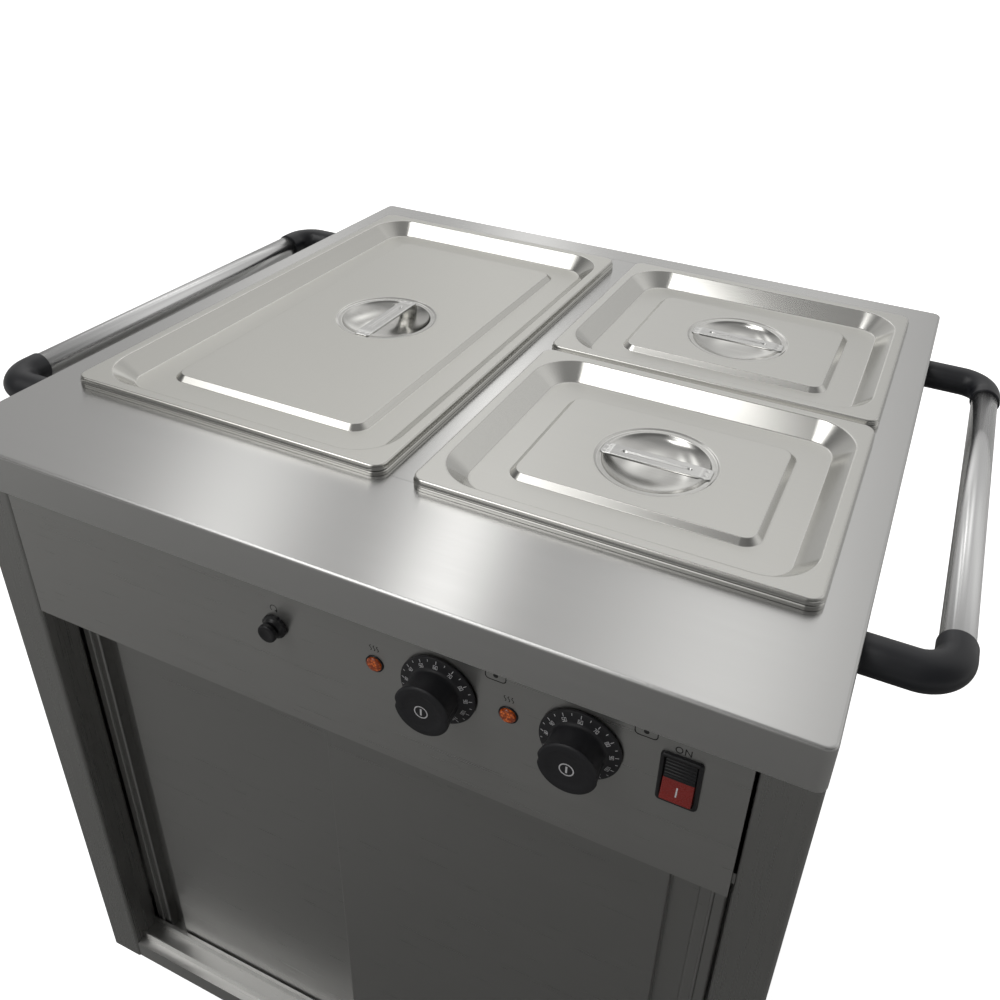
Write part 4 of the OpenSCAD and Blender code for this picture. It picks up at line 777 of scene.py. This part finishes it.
def knob_piece(name, x, body):
    """A knob and its dial skirt in one moulding, with the printed scale and the mark on its face."""
    y = FACE_Y - 1.2
    front = y - corner_mm(name)[0][1]
    outline = SKIRT_RIM + SKIRT + GRIP_FOOT + [(22.2, front - 2.2)]
    outline += arc(22.5 - 2.0, front - 2.0, 2.0, 8, 90, 7)
    outline += [(17.5, front), (15.8, front - 0.1), (14.5, front - 0.5)]
    outline += [(10.0, front - KNOB_FACE_DIP), (0.0, front - KNOB_FACE_DIP)]
    rings = []
    for r, h in outline:
        ring = []
        for i in range(KNOB_SIDES):
            a = 2 * math.pi * i / KNOB_SIDES
            rr = r
            if h > 5.0 and r > 12:
                for c in (0.0, math.pi):
                    dd = abs(math.atan2(math.sin(a - c), math.cos(a - c)))
                    rr -= 1.2 * (1 - smooth_step(dd / 0.22)) * smooth_step((h - 5.0) / 2.0)
            rr = max(rr, TINY)
            ring.append((x + rr * math.cos(a), y - h, CONTROL_Z + rr * math.sin(a)))
        rings.append(ring)
    verts, faces = tube_loops(rings)
    add_mesh(name + "_moulding", verts, faces, "dial", body, (name,))
    shapes = []
    for i in range(SCALE_MARKS):
        a = math.radians(SCALE_START - SCALE_SWEEP * i / (SCALE_MARKS - 1))
        r0 = 27.9 if i % 2 else 27.0
        shapes += stroke([(x + r * math.cos(a), CONTROL_Z + r * math.sin(a)) for r in (r0, SCALE_R)], 0.55)
    for i in range(1, 11):
        deg = SCALE_START - SCALE_SWEEP * 2 * i / (SCALE_MARKS - 1)
        a = math.radians(deg)
        px, pz = x + NUMERAL_R * math.cos(a), CONTROL_Z + NUMERAL_R * math.sin(a)
        shapes += numerals(str(10 * (i + 1)), px, pz, 2.6, deg - 90)
    verts, faces = [], []
    for pts in shapes:
        k = len(verts)
        n = len(pts)
        on_skirt = [(px, y - skirt_height(math.hypot(px - x, pz - CONTROL_Z)), pz) for px, pz in pts]
        verts += [(px, py - 0.10, pz) for px, py, pz in on_skirt]
        verts += [(px, py + 0.15, pz) for px, py, pz in on_skirt]
        faces.append(tuple(range(k, k + n)))
        for i in range(n):
            j = (i + 1) % n
            faces.append((k + i, k + n + i, k + n + j, k + j))
    add_mesh(name + "_scale", verts, faces, "white_ink", body, (), smooth=False)
    ring_mark = []
    for i in range(48):
        a0, a1 = 2 * math.pi * i / 48, 2 * math.pi * (i + 1) / 48
        ring_mark.append([(x + r * math.cos(a), CONTROL_Z + r * math.sin(a))
                          for r, a in ((5.6, a0), (5.6, a1), (4.7, a1), (4.7, a0))])
    ring_mark += stroke([(x, CONTROL_Z - 2.6), (x, CONTROL_Z + 2.6)], 1.4)
    flat_shape(name + "_mark", ring_mark, "white_ink", body, y - front + KNOB_FACE_DIP, 0.08)


def centre_x(node):
    lo, hi = corner_mm(node)
    return (lo[0] + hi[0]) / 2


KNOB_X = {"well_knob": centre_x("well_knob"), "cupboard_knob": centre_x("cupboard_knob")}
for n, x in KNOB_X.items():
    knob_piece(n, x, n)


LAMP_X = (41.0, 152.5)


def lamp_piece(x, nodes):
    """A lamp's black rim and its amber lens."""
    y = FACE_Y
    rim = [(7.75, 0.0), (7.75, 0.7), (7.45, 1.05), (6.9, 1.1), (6.55, 0.9), (6.45, 0.4)]
    turned("lamp_rim_" + str(int(x)), x, y, CONTROL_Z, rim, "black", "cabinet", ())
    outline = [(6.5, 0.3), (6.5, 1.3), (6.2, 2.0), (5.4, 2.7), (4.2, 3.0), (2.4, 3.15), (0.0, 3.2)]
    turned("lamp_lens_" + str(int(x)), x, y, CONTROL_Z, outline, "amber", "cabinet", nodes, 72)


lamp_piece(LAMP_X[0], ("indicator_lamps",))
lamp_piece(LAMP_X[1], ())


RESET_SIDES = 120
NUT_NOTCHES = 12
BUTTON_FLUTES = 30


def reset_piece():
    """The knurled nut, the fluted button and the stem behind it."""
    lo, hi = corner_mm("reset_nut")
    x = (lo[0] + hi[0]) / 2
    r = (hi[0] - lo[0]) / 2
    turn = [2 * math.pi * i / RESET_SIDES for i in range(RESET_SIDES)]
    rings = []
    for rr, h in ((r - 1.4, 0.0), (r - 0.3, 0.0), (r, 0.3), (r, 2.6), (r - 0.35, 3.0), (r - 1.6, 3.2),
                  (r - 2.4, 3.6), (r - 2.7, 5.5), (r - 3.1, 5.95), (3.0, 6.0)):
        ring = []
        for a in turn:
            q = rr
            if rr > r - 1.5:
                q -= 0.55 * smooth_step((math.cos(NUT_NOTCHES * a) - 0.35) / 0.4)
            ring.append((x + q * math.cos(a), FACE_Y - h, CONTROL_Z + q * math.sin(a)))
        rings.append(ring)
    v, f = tube_loops(rings, False)
    add_mesh("reset_nut_moulding", v, f, "black", "cabinet", ("reset_nut",))
    lo, hi = corner_mm("reset_button")
    br = (hi[0] - lo[0]) / 2
    y0 = FACE_Y - 8.3
    l = y0 - lo[1]
    outline = [(0.0, 0.0), (br - 0.4, 0.0), (br, 0.4), (br, l - 1.6)]
    outline += arc(br - 1.6, l - 1.6, 1.6, 15, 90, 6)
    outline += [(br * 0.6, l), (br * 0.52, l - 0.25), (0.0, l - 0.3)]
    rings = []
    for rr, h in outline:
        ring = []
        for a in turn:
            q = max(rr, TINY)
            if rr > br - 0.5 and 0.3 < h < l - 1.0:
                q -= 0.22 * (0.5 + 0.5 * math.cos(BUTTON_FLUTES * a))
            ring.append((x + q * math.cos(a), y0 - h, CONTROL_Z + q * math.sin(a)))
        rings.append(ring)
    v, f = tube_loops(rings)
    add_mesh("reset_button_moulding", v, f, "black", "reset_button", ())
    stem = [(2.5, -1.0), (2.5, -12.0), (2.3, -14.0), (0.0, -14.0)]
    turned("reset_stem", x, y0 + 0.6, CONTROL_Z, stem, "black", "reset_button", ("reset_button",),
           48)


reset_piece()


# each loop of the bezel: its inset, how far it stands out of the panel and the radius of its corners
BEZEL = [(0.0, 0.0, 3.2), (0.0, 1.2, 3.2), (0.25, 2.0, 3.0), (0.8, 2.65, 2.5), (1.5, 2.95, 2.0),
         (2.2, 3.0, 1.6), (2.8, 2.85, 1.1), (3.1, 2.5, 0.9), (3.2, 1.5, 0.8), (3.2, -13.0, 0.8)]
SWITCH_BODY = (12.9, 20.9)  # half width and half height of the housing behind the panel
ROCKER_HALF_W, ROCKER_HALF_H = 11.2, 18.0
ROCKER_TILT = math.radians(9.0)
ROCKER_DEEP = 1.0  # how far in front of the pivot the foot of its end walls lies
# the points across the rocker: side, inset from that side and height above the rocker's face
ROCKER_ROW = [(-1, 0.0, -9.0), (-1, 0.0, -0.7), (-1, 0.2, -0.25), (-1, 0.7, 0.0), (0, 0.0, 0.0),
              (1, 0.7, 0.0), (1, 0.2, -0.25), (1, 0.0, -0.7), (1, 0.0, -9.0)]
ROCKER_STEPS = 90


def switch_piece():
    """The rocker switch: bezel, body behind the panel, two-coloured rocker and its mark."""
    lo, hi = corner_mm("switch_housing")
    x, z = (lo[0] + hi[0]) / 2, (lo[2] + hi[2]) / 2
    w, h = hi[0] - lo[0], hi[2] - lo[2]
    loops = []
    for inset, out, r in BEZEL:
        pts = round_loop(w - 2 * inset, h - 2 * inset, r)
        loops.append([(x + px, FACE_Y - out, z + pz) for px, pz in pts])
    v, f = tube_loops(loops, False)
    f.append(tuple(range(len(v) - len(loops[0]), len(v))))
    add_mesh("switch_bezel", v, f, "black", "cabinet", ())
    bw, bh = SWITCH_BODY
    rings = []
    for back, k in ((0.4, 1.0), (14.0, 1.0), (29.0, 1.0), (30.0, 0.96)):
        rings.append([(x + sx * bw * k, FACE_Y + back, z + sz * bh * k)
                      for sx, sz in ((-1, -1), (1, -1), (1, 1), (-1, 1))])
    v, f = tube_loops(rings, True)
    add_mesh("switch_body", v, f, "black", "cabinet", ("switch_housing",), smooth=False)
    # the rocker, drawn level and then tilted to its rest place
    cos_t, sin_t = math.cos(ROCKER_TILT), math.sin(ROCKER_TILT)
    pivot_y = FACE_Y + 5.5

    def place(px, out, t):
        return (x + px, pivot_y - out * cos_t + t * sin_t, z + out * sin_t + t * cos_t)

    def surface(t):
        out = 8.2 + (9.7 - 8.2) * abs(t) / ROCKER_HALF_H
        end = smooth_step((abs(t) - ROCKER_HALF_H + 0.9) / 0.9)
        out -= 0.7 * end * end
        if 2.0 < t < ROCKER_HALF_H - 1.6:
            out -= 0.55 * (0.5 + 0.5 * math.cos(2 * math.pi * (t - 2.0) / 2.9)) ** 2
        return out

    def half(name, t0, t1, material, nodes):
        rows = []
        for i in range(ROCKER_STEPS + 1):
            t = t0 + (t1 - t0) * i / ROCKER_STEPS
            out = surface(t)
            rows.append([place(sx * (ROCKER_HALF_W - dx), out + dy, t) for sx, dx, dy in ROCKER_ROW])
        end = t1 if t1 > 0 else t0
        wall = [place(sx * (ROCKER_HALF_W - dx), ROCKER_DEEP, end) for sx, dx, dy in ROCKER_ROW]
        rows = rows + [wall] if t1 > 0 else [wall] + rows
        v, f = grid(rows)
        return add_mesh(name, v, f, material, "switch_rocker", nodes)

    half("rocker_upper", 0.0, ROCKER_HALF_H, "black", ())
    half("rocker_lower", -ROCKER_HALF_H, 0.0, "red", ("switch_rocker",))
    mark_low, mark_high, mark_w = -12.6, -5.2, 0.55
    corners = ((-1, mark_low), (1, mark_low), (1, mark_high), (-1, mark_high))
    mark = [[place(sx * mark_w, surface(t) + out, t) for sx, t in corners] for out in (0.06, -0.2)]
    v, f = tube_loops(mark)
    add_mesh("rocker_mark", v, f, "white_ink", "switch_rocker", (), smooth=False)


switch_piece()


def ring_strokes(cx, cz, r, a0, a1, width, n=24):
    """Outlines of a pen stroke along an arc."""
    return stroke(arc(cx, cz, r, a0, a1, n), width)


BOWL_X = (141.7, 253.3)  # middles of the two bowls
MARK_Z = 837.0  # height of the bowls
ON_AT = (279.7, 835.0)  # x and z of the middle of ON


def printed_marks():
    """What is printed on the control panel."""
    shapes = []
    # two bowls with a dot for food, one to the right of each dial, partly behind the apron
    z = MARK_Z
    for x in BOWL_X:
        shapes += stroke([(x - 8.0, z + 6.5), (x - 8.0, z + 2.0)], 0.8)
        shapes += ring_strokes(x - 5.0, z + 2.0, 3.0, 180, 270, 0.8, 8)
        shapes += stroke([(x - 5.0, z - 1.0), (x + 5.0, z - 1.0)], 0.8)
        shapes += ring_strokes(x + 5.0, z + 2.0, 3.0, 270, 360, 0.8, 8)
        shapes += stroke([(x + 8.0, z + 2.0), (x + 8.0, z + 6.5)], 0.8)
        shapes.append(arc(x, z + 3.6, 2.0, 0, 345, 23))
    # plain heat waves above the lamps and a round arrow above the reset button
    for x in LAMP_X:
        for k in (-1, 0, 1):
            up = [i / 16 for i in range(17)]
            pts = [(x + 3.0 * k + 0.75 * math.sin(2 * math.pi * u), CONTROL_Z + 12.6 + 5.0 * u) for u in up]
            shapes += stroke(pts, 0.6)
    rx = centre_x("reset_button")
    shapes += ring_strokes(rx, CONTROL_Z + 17.5, 3.0, -40, 230, 0.6)
    shapes.append([(rx + 3.6, CONTROL_Z + 16.6), (rx + 1.0, CONTROL_Z + 16.0), (rx + 2.9, CONTROL_Z + 13.9)])
    # ON above the rocker
    x, z = ON_AT
    turn = [math.radians(a) for a in range(0, 361, 15)]
    oval = [(x - 3.1 + 2.3 * math.cos(a), z + 2.6 * math.sin(a)) for a in turn]
    shapes += stroke(oval, 0.75)
    shapes += stroke([(x + 1.3, z - 2.6), (x + 1.3, z + 2.6), (x + 5.3, z - 2.6), (x + 5.3, z + 2.6)], 0.75)
    flat_shape("panel_print", shapes, "black_ink", "cabinet", FACE_Y, 0.06)


printed_marks()

# Room, light and camera


def stage_mesh(name, verts, faces, material):
    mesh = bpy.data.meshes.new(name)
    mesh.from_pydata(verts, [], faces)
    mesh.materials.append(material)
    obj = bpy.data.objects.new(name, mesh)
    bpy.context.collection.objects.link(obj)
    return obj


FLOOR_HALF = 14.0  # metres
FLOOR_SHADE_AT = (0.3, -0.8, 0.0)  # middle of the painted shade on the floor that reflections see, where it is darkest, in metres


def floor_material():
    """White to the camera with the object's shadow on it; grey to reflections, with painted shade that is
    darkest in front of the cupboard and lighter further off.
    """
    t = Tree("studio_floor")
    n = t.noise(t.coord(), 3.0, 3.0, 0.5)
    seen = t.node("ShaderNodeBsdfDiffuse")
    cloud = t.span(n, 0.3, 0.7, 0.0, 1.0)
    t.link(t.mix(cloud, (0.93, 0.93, 0.93, 1), (0.95, 0.95, 0.95, 1)), seen.inputs[0])
    glow = t.node("ShaderNodeEmission")
    glow.inputs[0].default_value = (1, 1, 1, 1)
    glow.inputs[1].default_value = 0.78
    both = t.node("ShaderNodeAddShader")
    t.link(seen.outputs[0], both.inputs[0])
    t.link(glow.outputs[0], both.inputs[1])
    away = t.node("ShaderNodeVectorMath", operation="DISTANCE")
    t.link(t.coord(), away.inputs[0])
    away.inputs[1].default_value = FLOOR_SHADE_AT
    # painted shade: the floor that reflections see is darkest round a point in front of the cupboard and
    # lightens with the distance from it
    out = t.span(away.outputs["Value"], 0.0, 2.0, 0.0, 0.95)
    reach = t.math("ADD", out, t.math("MULTIPLY", n, 0.1))
    painted_floor_shade = t.mix(reach, (0.178, 0.178, 0.175, 1), (0.36, 0.36, 0.355, 1))
    far = t.span(away.outputs["Value"], 2.1, 3.4, 0.0, 1.0)
    t.surface("Base Color", t.mix(far, painted_floor_shade, (0.80, 0.80, 0.79, 1)))
    t.surface("Roughness", 0.9)
    t.bump(n, 0.02, 0.001)
    path = t.node("ShaderNodeLightPath")
    pick = t.node("ShaderNodeMixShader")
    t.link(path.outputs["Is Camera Ray"], pick.inputs[0])
    t.link(t.bsdf.outputs[0], pick.inputs[1])
    t.link(both.outputs[0], pick.inputs[2])
    t.link(pick.outputs[0], t.out.inputs[0])
    return t.mat


floor_corners = [(sx * FLOOR_HALF, sy * FLOOR_HALF, 0) for sx, sy in ((-1, -1), (1, -1), (1, 1), (-1, 1))]
stage_mesh("floor", floor_corners, [(0, 1, 2, 3)], floor_material())


# Light levels of the room, where 1 is white. A panel is its azimuth and width and its elevation and height in
# degrees, and its level. A bar is a place and width across, from -1 to 1, then elevation, height and level.
ROOM = {
    "base": 0.15,
    "back": 0.36,
    "top": 0.15,
    "over": 4.0,
    "panels": [
        (-20.0, 12.0, 14.0, 9.0, 0.45),
        (60.0, 32.0, 35.0, 30.0, 0.3),
        (26.0, 14.0, 36.0, 16.0, 0.15),
        (-138.0, 20.0, 45.0, 10.0, 3.2),
        (-160.0, 20.0, 24.0, 9.0, 1.2),
    ],
    "bars": [
        (-0.575, 0.055, 42.0, 14.0, 1.1),
        (-0.382, 0.042, 42.0, 14.0, 1.9),
        (-0.1, 0.12, 46.0, 16.0, 0.8),
    ],
}


def studio_world():
    """A dim room with soft panels and bars of light for the steel to reflect, white to the camera."""
    world = bpy.data.worlds.new("studio")
    bpy.context.scene.world = world
    world.use_nodes = True
    nt = world.node_tree
    nt.nodes.clear()

    def put(n, i, v):
        if hasattr(v, "is_output"):
            nt.links.new(v, n.inputs[i])
        else:
            n.inputs[i].default_value = v

    def op(kind, a, b=None):
        n = nt.nodes.new("ShaderNodeMath")
        n.operation = kind
        put(n, 0, a)
        if b is not None:
            put(n, 1, b)
        return n.outputs[0]

    split = nt.nodes.new("ShaderNodeSeparateXYZ")
    nt.links.new(nt.nodes.new("ShaderNodeTexCoord").outputs["Generated"], split.inputs[0])
    x, y, z = split.outputs
    azimuth = op("MULTIPLY", op("ARCTAN2", x, y), 180 / math.pi)
    elevation = op("MULTIPLY", op("ARCSINE", z), 180 / math.pi)

    def bell(v, centre, width):
        d = op("DIVIDE", op("SUBTRACT", v, centre), width)
        return op("EXPONENT", op("MULTIPLY", op("MULTIPLY", d, d), -1.0))

    def ramp(v, lo, hi):
        n = nt.nodes.new("ShaderNodeMapRange")
        n.interpolation_type = "SMOOTHSTEP"
        put(n, 0, v)
        n.inputs[1].default_value = lo
        n.inputs[2].default_value = hi
        return n.outputs[0]

    total = op("ADD", op("MULTIPLY", ramp(y, -0.15, 0.6), ROOM["back"]), ROOM["base"])
    for centre, width, el, el_width, level in ROOM["panels"]:
        panel = op("MULTIPLY", bell(azimuth, centre, width), bell(elevation, el, el_width))
        total = op("ADD", total, op("MULTIPLY", panel, level))
    for centre, width, el, el_width, level in ROOM["bars"]:
        bar = op("MULTIPLY", bell(x, centre, width), bell(elevation, el, el_width))
        total = op("ADD", total, op("MULTIPLY", op("MULTIPLY", bar, ramp(y, 0.0, 0.3)), level))
    # the light overhead, a strip that ends on a slant
    slant = op("ADD", x, op("MULTIPLY", y, 0.87))
    over = op("MULTIPLY", bell(y, -0.26, 0.085), ramp(slant, -0.376, -0.426))
    over = op("MULTIPLY", over, ramp(z, 0.7, 0.8))
    total = op("ADD", total, op("MULTIPLY", over, ROOM["over"]))
    total = op("ADD", total, op("MULTIPLY", ramp(z, 0.75, 0.95), ROOM["top"]))
    room = nt.nodes.new("ShaderNodeBackground")
    tint = nt.nodes.new("ShaderNodeCombineColor")
    for i, k in enumerate((1.0, 0.995, 0.985)):
        nt.links.new(op("MULTIPLY", total, k), tint.inputs[i])
    nt.links.new(tint.outputs[0], room.inputs[0])
    seen = nt.nodes.new("ShaderNodeBackground")
    seen.inputs[0].default_value = (1, 1, 1, 1)
    path = nt.nodes.new("ShaderNodeLightPath")
    pick = nt.nodes.new("ShaderNodeMixShader")
    nt.links.new(path.outputs["Is Camera Ray"], pick.inputs[0])
    nt.links.new(room.outputs[0], pick.inputs[1])
    nt.links.new(seen.outputs[0], pick.inputs[2])
    nt.links.new(pick.outputs[0], nt.nodes.new("ShaderNodeOutputWorld").inputs[0])


studio_world()

# The camera, fitted to the rims of the pans in the photo
CAMERA_AT = Vector((0.354381, -0.772496, 1.337626))
RIGHT = Vector((0.9122301219, 0.4069854350, 0.0468941398))
DOWN = Vector((0.2436780269, -0.4470155646, -0.8606962903))
AHEAD = Vector((-0.3293284438, 0.7965801533, -0.5069544708))

cam_data = bpy.data.cameras.new("camera")
cam_data.sensor_width = 36.0
cam_data.lens = 34.689
cam_data.shift_x = -0.050155
cam_data.shift_y = -0.080661
cam_data.clip_start = 0.02
cam = bpy.data.objects.new("camera", cam_data)
bpy.context.collection.objects.link(cam)
bpy.context.scene.camera = cam
cam.matrix_world = Matrix([(RIGHT[i], -DOWN[i], -AHEAD[i], CAMERA_AT[i]) for i in range(3)] + [(0, 0, 0, 1)])
bpy.context.scene.view_settings.view_transform = "Standard"
